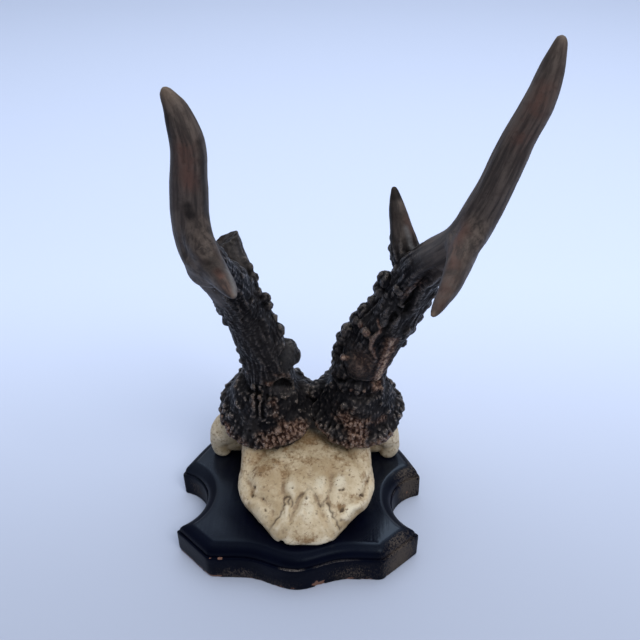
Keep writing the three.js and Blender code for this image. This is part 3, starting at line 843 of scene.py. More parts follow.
def braincase():
    angle = np.linspace(0, FULL_TURN, BRAINCASE_AROUND, endpoint=False)
    high = np.sin(angle)
    tuck = np.where(high < 0, TUCK ** np.maximum(-high, 0), 1)
    rows = spline([(0, y, 0, half, roof) for y, half, roof in STATIONS], BRAINCASE_ROWS)
    rings = []
    for _, y, _, half, roof in rows:
        widest = SHIELD_TOP + WIDEST * (roof - SHIELD_TOP)
        z = widest + high * np.where(high > 0, roof - widest, widest - SHIELD_TOP + BELOW)
        x = SKULL_X + half * np.cos(angle) * tuck
        rings.append(np.stack([x, np.full_like(x, y), np.maximum(z, SHIELD_TOP)], 1)[::-1])
    return loft(rings)


def pedicle(burr):
    at, up, _ = burr
    across = unit(np.cross(up, (0, 1, 0)))
    about = circle(PEDICLE_AROUND, across, np.cross(up, across))
    return loft([at - up * down + radius * about for down, radius in PEDICLE])


def skull_body(burrs):
    """The braincase with its sockets and gaps cut out, and the pedicles, sides and eye rims joined on."""
    body = piece("skull", [braincase()])
    (x, y, z), size = SOCKET
    for place, reach in [((SKULL_X + way * x, y, z), size) for way in (-1, 1)] + GAPS:
        hole = piece("socket", [ball(place, reach)])
        cut = body.modifiers.new("socket", "BOOLEAN")
        cut.operation = "DIFFERENCE"
        cut.object = hole
        baked(body)
        bpy.data.objects.remove(hole)
    more = [pedicle(b) for b in burrs] + [tube(path) for path in WALLS]
    (x, y, z), size = EYE_WING
    for way in (-1, 1):
        more.append(tube([(EYE_RIM_X + way * out, *rest) for out, *rest in EYE_RIM]))
        more.append(ball((EYE_RIM_X + way * x, y, z), size))
    for c, _ in more:
        c[:, 2] = np.maximum(c[:, 2], SHIELD_TOP)
    extra = piece("extra", more)
    join = bmesh.new()
    join.from_mesh(body.data)
    join.from_mesh(extra.data)
    join.to_mesh(body.data)
    join.free()
    bpy.data.objects.remove(extra)
    return skinned(body)


def inside_plate(p):
    """How far each point lies inside both edges of the plate, seen from above."""
    point, *ends = np.array(PLATE)
    gaps = []
    for end, way in zip(ends, (-1, 1)):
        across = way * np.array([end[1] - point[1], point[0] - end[0]])
        gaps.append((p[:, :2] - point) @ across / math.dist(point, end))
    return np.minimum(*gaps)


def skull_relief(p):
    """Ridges, hollows, the plate and an uneven surface."""
    soft = p + 0.9 * drift(p, 0.25, 2, 71)
    seen = as_seen(soft)
    shape = np.zeros(len(p))
    for much, width, line in RELIEF:
        shape += much * bell(line_distance(seen, as_seen(line)) / width)
    inside = inside_plate(p + 0.4 * (soft - p))
    shape += ramp(-p[:, 1], 36.5, 41.5) * PLATE_HEIGHT * ramp(inside, -1.6, 2.2)
    return shape + (SKULL_SWELL * fbm(p * 0.1, 3, 3) + SKULL_ROUGH * fbm(p * 0.35, 3, 4))


def skull_marks(p):
    """Seams, pits and pores, each from 0 to 1."""
    wobble = as_seen(p + 0.3 * drift(p, 0.9, 2, 61))
    ragged = as_seen(p + 0.8 * drift(p, 0.7, 3, 64))
    seam = traced(wobble, [(much, SEAM_WIDTH, as_seen(line)) for much, line in SUTURES])
    seam *= 0.45 + 0.55 * ramp(fbm(p * 0.5, 2, 25), -0.3, 0.1)
    pits = np.max([ramp(spot(ragged, as_seen([at])[0], size), 0.15, 0.75) for at, size in PITS], 0)
    pores = ramp(fbm(p * 0.9, 2, 21), 0.42, 0.62) * ramp(fbm(p * 0.12, 2, 22), -0.1, 0.3)
    return seam, pits, pores


def skull(burrs):
    skin = Skin(skull_body(burrs))
    skin.smooth(12)
    above = ramp(skin.p[:, 2], SHIELD_TOP, SHIELD_TOP + 2.5)
    skin.push(skull_relief(skin.p) * above)
    hollow = skin.hollowness(40)
    seam, pits, pores = skull_marks(skin.p)
    skin.push((-SEAM_DEPTH * seam - PIT_DEPTH * pits - PORE_DEPTH * pores) * above)
    p = skin.p
    cloudy = p + 1.8 * drift(p, 0.3, 3, 81)
    stain = np.maximum(FAR_BROWN * ramp(p[:, 1], -40, -26), spots(cloudy, STAINS))
    dark_and_shade = np.maximum(0.9 * seam, np.maximum(0.85 * pits, 0.5 * pores)) * above
    # Painted shade between the burrs.
    dark_and_shade = np.maximum(dark_and_shade, 0.95 * ramp(spot(p, *CLEFT_SHADE), 0.2, 0.6))
    # Painted shade along the foot, where the skull meets the shield.
    foot_shade = ramp(-p[:, 2], -SHIELD_TOP - 1.6, -SHIELD_TOP - 0.2)
    dark_and_shade = np.maximum(dark_and_shade, 0.6 * foot_shade)
    skin.values = {"stain": stain, "pale": spots(cloudy, PALE_PATCHES_AND_HIGHLIGHTS), "dark_and_shade": dark_and_shade, "hollow": hollow}
    return skin.done(bone_material())


# Antlers.


def burr_at(at, lean, radius):
    return np.array(at, float), unit([lean[0], lean[1], 1]), radius


# Left and right are as seen in the photograph. Paths are rows of x, y, z, radius; lumps are places, sizes.
# Marks such as tan, grey and dark are strengths, widths and lines; the dark marks are dark streaks and
# painted shade in carved grooves, and the grey marks are grey patches and painted sheen along tine rims;
# carved lines are heights, widths and lines.
# "planed" faces are places, directions and reaches; a "scoop" is a place, half width and half height.
# Below the neck an antler stops at the x value "meet", so the burrs overlap little. "rough_end" is the
# share of the beam at which the bark ends, and how much further it runs on the beam's right side.
# "front_rubbed" is how smooth the front tine is, "tips" how pale the points of the beam, back tine and
# front tine are, and "furrow" and "mesh" are heights of the bark.
LEFT = {
    "name": "left",
    "seed": 100,
    "burr": burr_at((-14.3, 0, 47), (-0.05, -0.34), 21.3),
    "meet": 6.8,
    "stop": np.minimum,
    "broken": True,
    "rough_end": (0.43, 0.2),
    "front_rubbed": 0.3,
    "tips": (0.45, 0.5, 0),
    "furrow": 0.55,
    "mesh": 0.16,
    "beam": [
        (-14.5, -0.5, 46, 12.4), (-12.6, -3, 61, 11.2), (-12.2, -5.5, 74, 10.2), (-14.4, -8.5, 88, 9.3),
        (-17.6, -12, 102, 8.7), (-20.4, -18, 116, 8.3), (-23, -27, 128, 7.6), (-25.5, -36, 138.5, 6.9),
        (-27.2, -42, 148.5, 6.4), (-28, -44.3, 160, 6), (-27, -45.3, 173, 5.9), (-25.6, -46, 184.5, 5.3),
        (-27.6, -45, 194.3, 4.1), (-31, -43.9, 200.8, 2.1),
    ],
    "back_tine": [
        (-26.8, -41, 146, 6), (-20.4, -53, 147.6, 4.3), (-15, -63.5, 148.2, 2.9), (-12, -69.6, 148, 1.1),
    ],
    "front_tine": [
        (-18.2, -17, 112, 7.4), (-19.8, -14.5, 123, 6.3), (-22.4, -12, 131.5, 5.2),
        (-24.2, -10.2, 139, 4.6),
    ],
    "strands": [
        [(-27.5, -44, 166, 5), (-25, -48.5, 156, 4.8), (-21, -53, 149.8, 3.9)],
        [(-30, -42, 153, 4.6), (-26.8, -47.2, 148.4, 4.6), (-21.4, -53, 147.2, 3.7)],
        [(-29.5, -39, 147, 5), (-26, -46.5, 143, 4.4), (-20.4, -54, 145.2, 2.9)],
        [(-26.5, -35, 138, 6.2), (-23.5, -44, 140.6, 4.8), (-19.2, -53.5, 144.8, 2.9)],
        [(-9.8, -14.2, 76.4, 0.9), (-6.6, -12.6, 74.4, 0.9), (-2.6, -9.5, 72, 0.8)],
    ],
    "lumps": [
        ((-3.9, -5, 81.2), 4.9), ((-2.8, -3.6, 77.5), 4.6), ((-7.2, -7, 86.6), 2.6), ((-4.5, -8, 79), 4.6),
        ((-6.8, -9.5, 95), 2.7), ((-9.8, -12.6, 108.6), 2.5), ((-9.9, -15.6, 113.8), 2.5),
        ((-12.6, -17.5, 117.6), 2), ((-8.4, -10.5, 101), 1.9), ((-18.4, -14, 69.2), 1.1),
        ((-17.8, -15.2, 65), 1.2), ((-18.5, -15.8, 61.8), 0.8), ((-14.7, -15.2, 69.4), 1),
        ((-15.6, -16.2, 65.4), 1.1), ((-15, -16.8, 62.6), 0.8), ((-11.3, -15.2, 71.6), 1.3),
        ((-11.2, -16.2, 64), 1), ((-11.8, -16.6, 60.6), 1.1), ((4.4, 6, 52.4), 3.6),
        ((-16.8, -15.5, 130.4), 1.5), ((-15.4, -15.6, 127.4), 2.2), ((-14, -16.6, 123.6), 2.5),
        ((-14.6, -20.6, 124.4), 1.6), ((0.6, 2, 54.2), 5), ((-21.6, -6, 78), 2), ((-23.2, -9, 92), 1.7),
        ((-25.8, -13, 104), 1.8), ((-28, -17, 112), 1.6), ((-17, -14.5, 84), 2.2),
    ],
    "calm": [(0.15, 6, [(-3, -7, 83), (-3, -6, 77)])],
    "planed": [((-3.2, -8.4, 81.5), (0.3, -0.9, 0.2), 7.5)],
    "scoop": [((-4.9, -12, 66.2), (7, 4.8))],
    "carved": [
        (-1.2, 1.1, [(-8.6, -12.5, 87), (-9.2, -14, 80), (-7.4, -13.4, 75)]),
        (-1.6, 0.8, [(-16.4, -15, 71), (-16.7, -16.6, 63), (-17.2, -17.4, 55)]),
        (-1.4, 0.8, [(-13.5, -15.6, 71), (-14, -17, 63), (-14.5, -17.8, 56)]),
        (-1.1, 0.8, [(-19.8, -13, 70), (-20.3, -15, 62)]),
    ],
    "grains": [
        (1, 4.6, [(-14, -19, 43.5), (-6, -18, 46.5), (0, -14.5, 46.5)]),
        (0.55, 2.8, [(-6, -17.4, 51), (-8.5, -16.8, 58), (-10.4, -16, 63)]),
        (0.9, 2.6, [(-34, -5, 45.5), (-29.6, -13.8, 42.3), (-22, -18.2, 40.8), (-12, -19.4, 40.6)]),
    ],
    "tan": [
        (0.85, 1.5, [(-11.8, -16, 71.9), (-10.4, -15.8, 71.6)]),
        (0.45, 0.9, [(-9.8, -14.9, 76.4), (-6.6, -13.4, 74.4), (-2.6, -10.2, 72)]),
        (0.3, 0.9, [(-15.2, -17, 67), (-15.4, -18.2, 61)]),
        (0.25, 0.9, [(-18.2, -16, 67), (-18.4, -17.2, 61)]),
    ],
    "red": [
        (0.8, 3, [(-25.8, -50.7, 186), (-25.7, -51.1, 181.1), (-25.6, -51.2, 175)]),
        (0.9, 1.5, [(-18.4, -59.5, 151.2), (-15.6, -64.8, 150.3), (-12.9, -69, 149)]),
    ],
    "grey_and_sheen": [
        (0.19, 6, [(-3.2, -9, 84), (-3.4, -9, 79)]),
        # Painted sheen along the back tine's rim.
        (0.75, 0.9, [(-15.2, -58.5, 150.6), (-13.2, -64, 150.2), (-11.6, -69.4, 148.6)]),
        (0.16, 4, [(-21, -15.5, 134), (-19.4, -16.6, 128)]),
    ],
    "dark_and_shade": [
        (1, 2.1, [(-26.4, -50.6, 168), (-26.2, -50.6, 165)]),
        (1.5, 2.3, [(-32.2, -45.6, 197.6), (-30.8, -47, 194), (-30.4, -47.8, 189)]),
        (0.85, 2, [(-22, -48.4, 187), (-21.5, -48.7, 180), (-22.1, -47.5, 168.6), (-21.9, -43.4, 152)]),
        (0.75, 1.3, [(-28.2, -49.4, 189), (-28.9, -49, 174)]),
        (0.75, 3, [(-20.5, -56, 151.4), (-17.6, -60, 151.6)]),
        (1, 3.2, [(-23.4, -12, 139), (-22.2, -13.3, 138)]),
        (0.55, 0.9, [(-25.4, -51, 190), (-26.2, -51.2, 182)]),
        # Painted shade in the two carved grooves below the neck.
        (0.9, 0.8, [(-16.4, -16, 71), (-16.7, -17.6, 63), (-17.2, -18.4, 55)]),
        (0.9, 0.8, [(-13.5, -16.4, 71), (-14, -18, 63), (-14.5, -18.8, 56)]),
    ],
}
RIGHT = {
    "name": "right",
    "seed": 200,
    "burr": burr_at((25.3, 0, 47.6), (0.1, -0.34), 20.3),
    "meet": 4.2,
    "stop": np.maximum,
    "broken": False,
    "rough_end": (0.5, 0),
    "front_rubbed": 1,
    "tips": (0.2, 0.5, 0.1),
    "furrow": 0.8,
    "mesh": 0,
    "beam": [
        (24.2, -0.5, 46, 12.8), (24.8, -2.5, 60, 11.6), (27.4, -5.5, 75, 10.9), (32, -9, 90, 10.4),
        (37.5, -12, 102.5, 10), (42.4, -15.8, 114, 9.2), (46, -21.5, 127, 8.5), (51.2, -31, 139.5, 7.3),
        (57.8, -40.5, 151.8, 6.4), (63.3, -45, 168, 5.6), (68.5, -47, 186, 5), (72.4, -48, 197, 4.6),
        (75, -48, 207.5, 3.5), (76.2, -48, 215, 1.9),
    ],
    "back_tine": [
        (57.8, -41, 152, 5.9), (54.6, -55, 152, 4.3), (50, -68, 150.6, 3.2), (46.3, -76.2, 149.8, 2.1),
        (44, -80.5, 148.8, 1),
    ],
    "front_tine": [
        (44.6, -20.6, 122, 6.8), (42.6, -17, 132, 5.7), (40.6, -12.5, 140, 4.5), (38.8, -8.5, 147.5, 3.2),
        (37.2, -5.2, 154.4, 1.3),
    ],
    "strands": [
        [(62, -44.5, 164, 4.6), (58.5, -48.5, 156.5, 4.5), (54.5, -55, 152.6, 3.8)],
        [
            (32.2, -20.6, 107, 0.6), (33.4, -21.6, 103.4, 0.6), (31.4, -21.4, 100, 0.75),
            (30.2, -20.7, 96, 0.6), (30.8, -19.9, 92, 0.6), (32.4, -19.4, 88.4, 0.6),
        ],
        [
            (42.6, -26.6, 118, 1), (39.6, -24, 110.5, 1.2), (37.6, -21.4, 101, 1.2),
            (36.4, -18.4, 90, 0.9), (34.4, -15.2, 78, 0.7),
        ],
        [(37.6, -23.2, 117.6, 0.9), (35.6, -22.6, 111, 1), (34.4, -21.6, 105, 0.8)],
        [(46.6, -30.6, 131, 1.3), (41.6, -26.2, 122, 1.3), (36.4, -20.8, 117, 1.2)],
    ],
    "lumps": [
        ((26.2, -11.4, 82.4), (7, 7.2, 8.4)), ((17.8, -5, 79), 3.3), ((18, -6, 84), 3),
        ((19.6, -7, 89.5), 3.2), ((21.6, -8.5, 94.5), 3), ((25.5, -10, 101), 3.2),
        ((27.8, -11, 105.5), 2.9), ((31, -13.5, 111), 2.4), ((33.6, -16.5, 118.5), 3),
        ((35, -18, 123.5), 3.2), ((39.4, -22, 130), 2.2), ((19.7, -15.3, 85.7), 1.9),
        ((28.2, -18.6, 100.6), 1.4), ((26.7, -14.6, 100.9), 1.3), ((42.4, -12, 91), 2.7),
        ((45, -14, 99), 2.7), ((47.6, -15.4, 106), 2.4), ((50, -17.4, 113), 2.7), ((52, -21, 120), 2.5),
        ((37.6, -8, 79), 2.4), ((8.4, 2, 54.2), 5), ((37.6, -15.5, 131), 1.5), ((36.9, -14, 134.5), 1.3),
        ((36.6, -12.8, 138), 1.1), ((38.4, -17.4, 127.5), 1.6), ((19.6, -13.6, 66.8), 0.8),
        ((22.6, -15.2, 68.6), 0.7), ((25, -16, 67.6), 0.8), ((28.4, -16, 68.8), 0.8),
        ((31.2, -14.8, 67.6), 0.9), ((33.8, -13.2, 68.2), 1), ((35.6, -11.6, 66.6), 0.8),
    ],
    "calm": [
        (0.85, 6.5, [(26.2, -18, 84), (26.6, -18.4, 80)]),
        (0.8, 2.2, [(38.1, -20.6, 98), (36, -17.6, 86), (34.4, -15.5, 78.4)]),
        (0.7, 1.4, [(32.2, -21, 107), (33.4, -22, 103.4), (30.2, -21.2, 96), (32.4, -19.9, 88.4)]),
    ],
    "planed": [],
    "scoop": [],
    "carved": [
        (-1.6, 1.1, [(20.6, -14.6, 90.4), (18.8, -12.8, 85), (18.6, -13, 79), (21, -15.4, 74.4)]),
        (-2, 1.9, [
            (16, -10.4, 69.6), (22, -14.5, 72), (27, -16, 72.2), (31.5, -14.5, 71.4), (35.4, -12, 70),
        ]),
        (-0.9, 1.2, [(33, -18.6, 89), (33.4, -19.6, 95), (35.4, -21.6, 104), (38, -23.4, 111)]),
        (-2.4, 2, [(50.4, -37.6, 139), (46.6, -32.6, 131), (43.4, -28, 122), (41.6, -25, 114)]),
        (-1.6, 1.2, [(46, -29, 134), (41, -25, 126), (37.4, -21.6, 119)]),
    ],
    "grains": [
        (1, 4.8, [(20, -16.5, 54), (25, -18, 49), (26, -19.5, 43)]),
        (0.9, 2.8, [
            (8, -13, 45), (16, -18.6, 42.5), (24.4, -20, 41.2), (33, -18.5, 41), (40, -13.5, 41.5),
        ]),
        (0.7, 2.8, [(30, -15.5, 52), (36, -12, 51)]),
    ],
    "tan": [
        (1.5, 2.1, [
            (38.1, -20.6, 98), (37, -18.8, 91), (35.7, -17.3, 84.9), (34.4, -15.5, 78.4),
            (33.5, -12.4, 68.6),
        ]),
        (1, 0.8, [
            (32.2, -21, 107), (33.4, -22, 103.4), (31.4, -21.9, 100), (30.2, -21.2, 96), (30.8, -20.4, 92),
            (32.4, -19.9, 88.4),
        ]),
        (1.3, 1.7, [(19.8, -16.6, 86.4), (19.9, -16.6, 86.5)]),
        (1, 1.3, [(28.2, -19.8, 100.6), (28.3, -19.8, 100.8)]),
        (0.9, 1.2, [(26.7, -15.6, 100.9), (26.8, -15.6, 101)]),
        (0.42, 5.5, [(26.5, -18, 83), (27, -18.2, 86)]),
        (0.9, 0.8, [(22.6, -15.8, 68.6), (22.7, -15.8, 68.7)]),
        (0.9, 0.9, [(28.4, -16.6, 68.8), (28.5, -16.6, 68.9)]),
        (0.9, 1.1, [(33.8, -13.8, 68.2), (33.9, -13.8, 68.3)]),
        (0.5, 1.6, [(46.6, -31.8, 131), (41.6, -27.4, 122)]),
        (0.6, 1.2, [(47.2, -20.5, 137), (45.6, -19, 133)]),
    ],
    "red": [
        (0.8, 2.2, [(51.4, -62, 155), (53.1, -52, 155.9), (57.2, -48.3, 159.6)]),
        (0.7, 2.8, [(68.1, -51.9, 188.4), (72.8, -51.8, 202.1)]),
        (0.6, 2.6, [(49.3, -68.6, 153.5), (45, -80, 150)]),
        (0.75, 1.8, [(44.6, -17, 139.5), (41.6, -12.6, 145)]),
    ],
    "grey_and_sheen": [
        # Painted sheen along the front tine's rim.
        (0.62, 1.1, [(41.8, -15.4, 143.2), (43, -18, 139.8), (44.2, -20, 137)]),
        (0.2, 5, [(45.6, -33.4, 143.7), (51, -39.2, 152.3)]),
    ],
    "dark_and_shade": [
        (0.6, 1.5, [(58.6, -46.6, 162), (65.2, -49.4, 180)]),
        (0.5, 1.4, [(66.6, -50.2, 182), (68.4, -51, 194)]),
        (1, 2.2, [(36.4, -8.5, 150.5), (36.7, -11.6, 144.5), (37, -15.4, 138)]),
        (1.7, 3, [(37.4, -6.8, 155), (37.6, -7.4, 152.4)]),
        (0.7, 4, [(39, -12, 147), (41.6, -17, 138)]),
        (0.6, 4.5, [(53, -60, 153), (45.4, -79, 150)]),
    ],
}
# The burr's profile for a rim of this radius: distance from its axis, height.
PROFILE = 21
BURR_UNDER = [(8, -3.4), (12.5, -3.4), (17, -3.2), (20, -2.4), (21.2, -1)]
BURR_DOME = [
    (21.4, 0.6), (20.8, 2.2), (19.2, 4), (17.4, 6.4), (15.8, 9.6), (14.4, 13.2), (12.8, 17), (10.8, 20.2),
    (7.5, 21.6),
]
DOME_FAR = np.concatenate([[0], np.cumsum(np.linalg.norm(np.diff(np.array(BURR_DOME), axis=0), axis=1))])
BURR_AROUND, BURR_RIDGES, RIM_BEADS, DOME_BEADS, BEAM_PEARLS = 160, 58, 64, 240, 70
# Along a short ridge of the burr, from its start to the rim: share of the way, thickness.
RIDGE_ROWS = ((1, 0.4), (0.5, 0.9), (0, 1.15))
RIDGE_START, RIDGE_SIZE, RIDGE_SWAY = (0.06, 0.3), (0.5, 1.1), (-0.04, 0.04)
RIM_BEAD_HEIGHT, RIM_BEAD_SIZE = (-1.6, 1.8), (0.7, 1.4)
# Heights of the bark's cross ridges, grains, crumbs and swells, and depth of the lines on the points.
RIDGES, GRAINS, CRUMBS, SWELLS, LINES = 0.34, 0.38, 0.3, 1.1, 0.3
# Heights on the collar where it is worn, and how much more where it is grainy.
WORN_TEETH, MORE_TEETH, WORN_CRUMBS, MORE_CRUMBS = 0.2, 0.7, 0.12, 0.28
COLLAR_LUMPS, COLLAR_KNOTS = 1, 0.35
PATH_ROWS, PEARL_ROWS, BLOCK = 160, 240, 8000
# The pattern runs this much slower along a branch, and starts anew on each one.
GRAIN_ALONG, GRAIN_APART = 0.09, 40
SCOOP_DEPTH, SCOOP_REACH = 2.8, 7
PLANED = 0.5
NECK_Z = 72
# The stump's break: an x, the height there, the rise to its right, and the depth of a dip.
BREAK_X, BREAK_Z, BREAK_SLOPE, BREAK_DIP = -20, 138.6, 0.56, 0.9
DIP_AT, DIP_SIZE = (-24.4, -10.2), 2.6


def grainy(p, side):
    """Where an antler is set with tan grains, from 0 to 1; elsewhere its burr is worn smooth."""
    return ramp(traced(p, side["grains"]) + 0.4 * fbm(p * 0.3, 3, side["seed"] + 50), 0.1, 0.85)


class Burr:
    """The rough collar round the foot of an antler."""

    def __init__(self, side):
        self.side = side
        self.at, self.up, self.rim = side["burr"]
        self.across = unit(np.cross(self.up, (0, 1, 0)))
        self.along = np.cross(self.up, self.across)
        self.seed = side["seed"]

    def place(self, angle, out, height):
        """Points at an angle round the collar, a distance out of its axis and a height above its middle."""
        angle, out, height = (np.reshape(v, (-1, 1)) for v in (angle, out, height))
        return self.at + out * (np.cos(angle) * self.across + np.sin(angle) * self.along) + height * self.up

    def on_dome(self, angle, share):
        """A point on the dome above the rim, with share 0 at the rim and 1 at the top."""
        far = share * DOME_FAR[-1]
        out, height = (np.interp(far, DOME_FAR, column) for column in np.array(BURR_DOME).T)
        return self.place(angle, out * self.rim / PROFILE, height)[0]

    def collar_shell(self):
        angle = np.linspace(0, FULL_TURN, BURR_AROUND, endpoint=False)
        about = np.stack([np.cos(angle), np.sin(angle), np.zeros_like(angle)], 1)
        wave = 0.045 * fbm(about * 2.4 + self.seed, 3, self.seed)
        lift = 0.9 * fbm(about * 1.6 + self.seed + 9, 2, self.seed + 1)
        rings = []
        for radius, height in BURR_UNDER + BURR_DOME:
            part = min(radius / PROFILE, 1)
            out = radius * self.rim / PROFILE * (1 + wave * part)
            rings.append(self.place(angle, out, height + lift * part**2)[::-1])
        return loft(rings)

    def shells(self):
        """The collar, ridges to its rim, and beads on rim and dome, more of them on grainy parts."""
        made = [self.collar_shell()]
        for k in range(BURR_RIDGES):
            turn = FULL_TURN * (k + 0.8 * rng.random()) / BURR_RIDGES
            start = rng.uniform(*RIDGE_START)
            size = rng.uniform(*RIDGE_SIZE)
            path = []
            for share, grow in RIDGE_ROWS:
                path.append((*self.on_dome(turn + rng.uniform(*RIDGE_SWAY), start * share), size * grow))
            made.append(tube(path, 10, 0.7))
        for k in range(RIM_BEADS):
            turn = FULL_TURN * (k + 0.6 * rng.random()) / RIM_BEADS
            out = self.rim * 0.985 + 0.4 * rng.random()
            at = self.place(turn, out, rng.uniform(*RIM_BEAD_HEIGHT))[0]
            made.append(ball(at, rng.uniform(*RIM_BEAD_SIZE)))
        for _ in range(DOME_BEADS):
            at = self.on_dome(FULL_TURN * rng.random(), 0.85 * rng.random())
            size = 0.5 + 1.1 * rng.random() ** 3
            if rng.random() < 0.25 + grainy(at[None], self.side)[0]:
                made.append(ball(at, size))
        return made

    def off_axis(self, p):
        """Height of each point above the burr's middle, and its way out from the axis."""
        height = (p - self.at) @ self.up
        return height, p - self.at - height[:, None] * self.up

    def covers(self, p):
        """1 on the collar and 0 on the beam above it."""
        height, off = self.off_axis(p)
        dome, level = np.array(BURR_UNDER[2:] + BURR_DOME).T
        proud = np.linalg.norm(off, axis=1) - np.interp(height, level, dome * self.rim / PROFILE)
        return ramp(proud, -3, -1) * ramp(-height, -21.5, -20)

    def relief(self, p, crumb, grain_here):
        """Teeth, crumbs and lumps of the collar."""
        height, off = self.off_axis(p)
        turn = np.arctan2(off @ self.across, off @ self.along)
        down = np.linalg.norm(off, axis=1) - height
        seed = self.seed
        teeth = grains(np.stack([0.6 * self.rim * turn, 0.21 * down, 0.3 * crumb], 1), seed + 13)
        lumpy = COLLAR_LUMPS * fbm(p * 0.18, 3, seed + 10) + COLLAR_KNOTS * fbm(p * 0.5, 2, seed + 9)
        toothed = (WORN_TEETH + MORE_TEETH * grain_here) * (teeth - 0.5)
        return toothed + (WORN_CRUMBS + MORE_CRUMBS * grain_here) * crumb + lumpy


def along_branches(p, paths):
    """For each point: the nearest branch, the share of its length, and the place in its grain."""
    best = np.full(len(p), FAR)
    branch, share, grain = np.zeros(len(p), dtype=int), np.zeros(len(p)), np.zeros((len(p), 3))
    last = PATH_ROWS - 1
    for number, path in enumerate(paths):
        line = spline(path, PATH_ROWS)
        _, n, b = carried_frames(line[:, :3])
        length = length_of(line)
        for start in range(0, len(p), BLOCK):
            block = np.arange(start, min(start + BLOCK, len(p)))
            gap = np.linalg.norm(p[block, None, :] - line[None, :, :3], axis=2) - line[None, :, 3]
            row = gap.argmin(1)
            near = gap[np.arange(len(row)), row]
            keep = near < best[block]
            where, row = block[keep], row[keep]
            off = p[where] - line[row, :3]
            best[where] = near[keep]
            branch[where] = number
            share[where] = row / last
            along = GRAIN_ALONG * length * row / last + GRAIN_APART * number
            grain[where] = np.stack([(off * n[row]).sum(1), (off * b[row]).sum(1), along], 1)
    return branch, share, grain


def scoop(p, side):
    """The hollow under an antler's neck: where it is, and how high in it a point lies, from -1 to 1."""
    where, high = np.zeros(len(p)), np.zeros(len(p))
    for at, (half_width, half_height) in side["scoop"]:
        off = p - at
        high = off @ np.cross(-SEEN, (1, 0, 0)) / half_height
        half = half_width * (0.72 + 0.28 * np.clip(high, -1, 1))
        reach = np.abs(off[:, 0] / half) ** 1.4 + np.abs(high) ** 1.6
        where = (1 - ramp(reach, 0.6, 1.1)) * (np.abs(off @ SEEN) < SCOOP_REACH)
    return where, np.clip(high, -1, 1)


def pearls(beam):
    """Beads on the lower half of a beam, mostly along its two edges."""
    rows = spline(beam, PEARL_ROWS)
    _, n, b = carried_frames(rows[:, :3])
    made = []
    while len(made) < BEAM_PEARLS:
        row = int(PEARL_ROWS * (0.1 + 0.38 * rng.random()))
        angle = FULL_TURN * rng.random()
        way = math.cos(angle) * n[row] + math.sin(angle) * b[row]
        size = 0.7 + 1.5 * rng.random() ** 2
        if abs(way[0]) > 0.72 or way[1] > 0.3 or rng.random() < 0.16:
            made.append(ball(rows[row, :3] + (rows[row, 3] - 0.2 * size) * way, size))
    return made


def roughness(p, side, branch, share):
    """1 on the rough lower part of an antler and 0 on its rubbed points."""
    core = np.interp(share, np.linspace(0, 1, PATH_ROWS), spline(side["beam"], PATH_ROWS)[:, 0])
    start, further = side["rough_end"]
    end = start + further * ramp((p[:, 0] - core) / 7, -0.2, 0.7)
    front = 1 - side["front_rubbed"] * ramp(share, 0.3, 0.62)
    return np.choose(branch, [1 - ramp(share, end, end + 0.1), np.zeros_like(share), front])


def bark(p, grain, crumb, side):
    """Lengthwise furrows, cross ridges and grains of the rough part."""
    seed = side["seed"]
    bent = grain + 1.2 * drift(p, 0.07, 2, seed + 21) * np.array([1, 1, 0.2])
    furrow = 1 - np.abs(fbm(bent * (0.3, 0.3, 0.55), 4, seed + 5)) * 2.4
    ridge = 1 - np.abs(fbm(bent * (0.9, 0.9, 1.1), 2, seed + 15)) * 2.2
    pearly = grains(p * (0.45, 0.45, 0.38), seed + 6)
    spread = ramp(fbm(p * 0.07, 2, seed + 8), 0, 0.4)
    crossed = ramp(fbm(p * 0.1, 2, seed + 18), -0.3, 0.5)
    made = side["furrow"] * (furrow - 0.5) + RIDGES * crossed * (ridge - 0.5)
    made += GRAINS * spread * (pearly - 0.45)
    finest = CRUMBS * crumb + side["mesh"] * fbm(p * 1.1, 2, seed + 19)
    return made + (finest + SWELLS * fbm(p * 0.11, 2, seed + 17))


def broken_off(skin, p, branch, share):
    """The stump's ragged break, which slopes to the left."""
    x, y, z = skin.p.T
    dip = np.exp(-(((x - DIP_AT[0]) / DIP_SIZE) ** 2 + ((y - DIP_AT[1]) / DIP_SIZE) ** 2))
    top = BREAK_Z + BREAK_SLOPE * (x - BREAK_X) - BREAK_DIP * dip + 0.7 * fbm(p * 0.5, 2, 77)
    skin.p[:, 2] = np.where((branch == 2) & (share > 0.7), np.minimum(z, top), z)


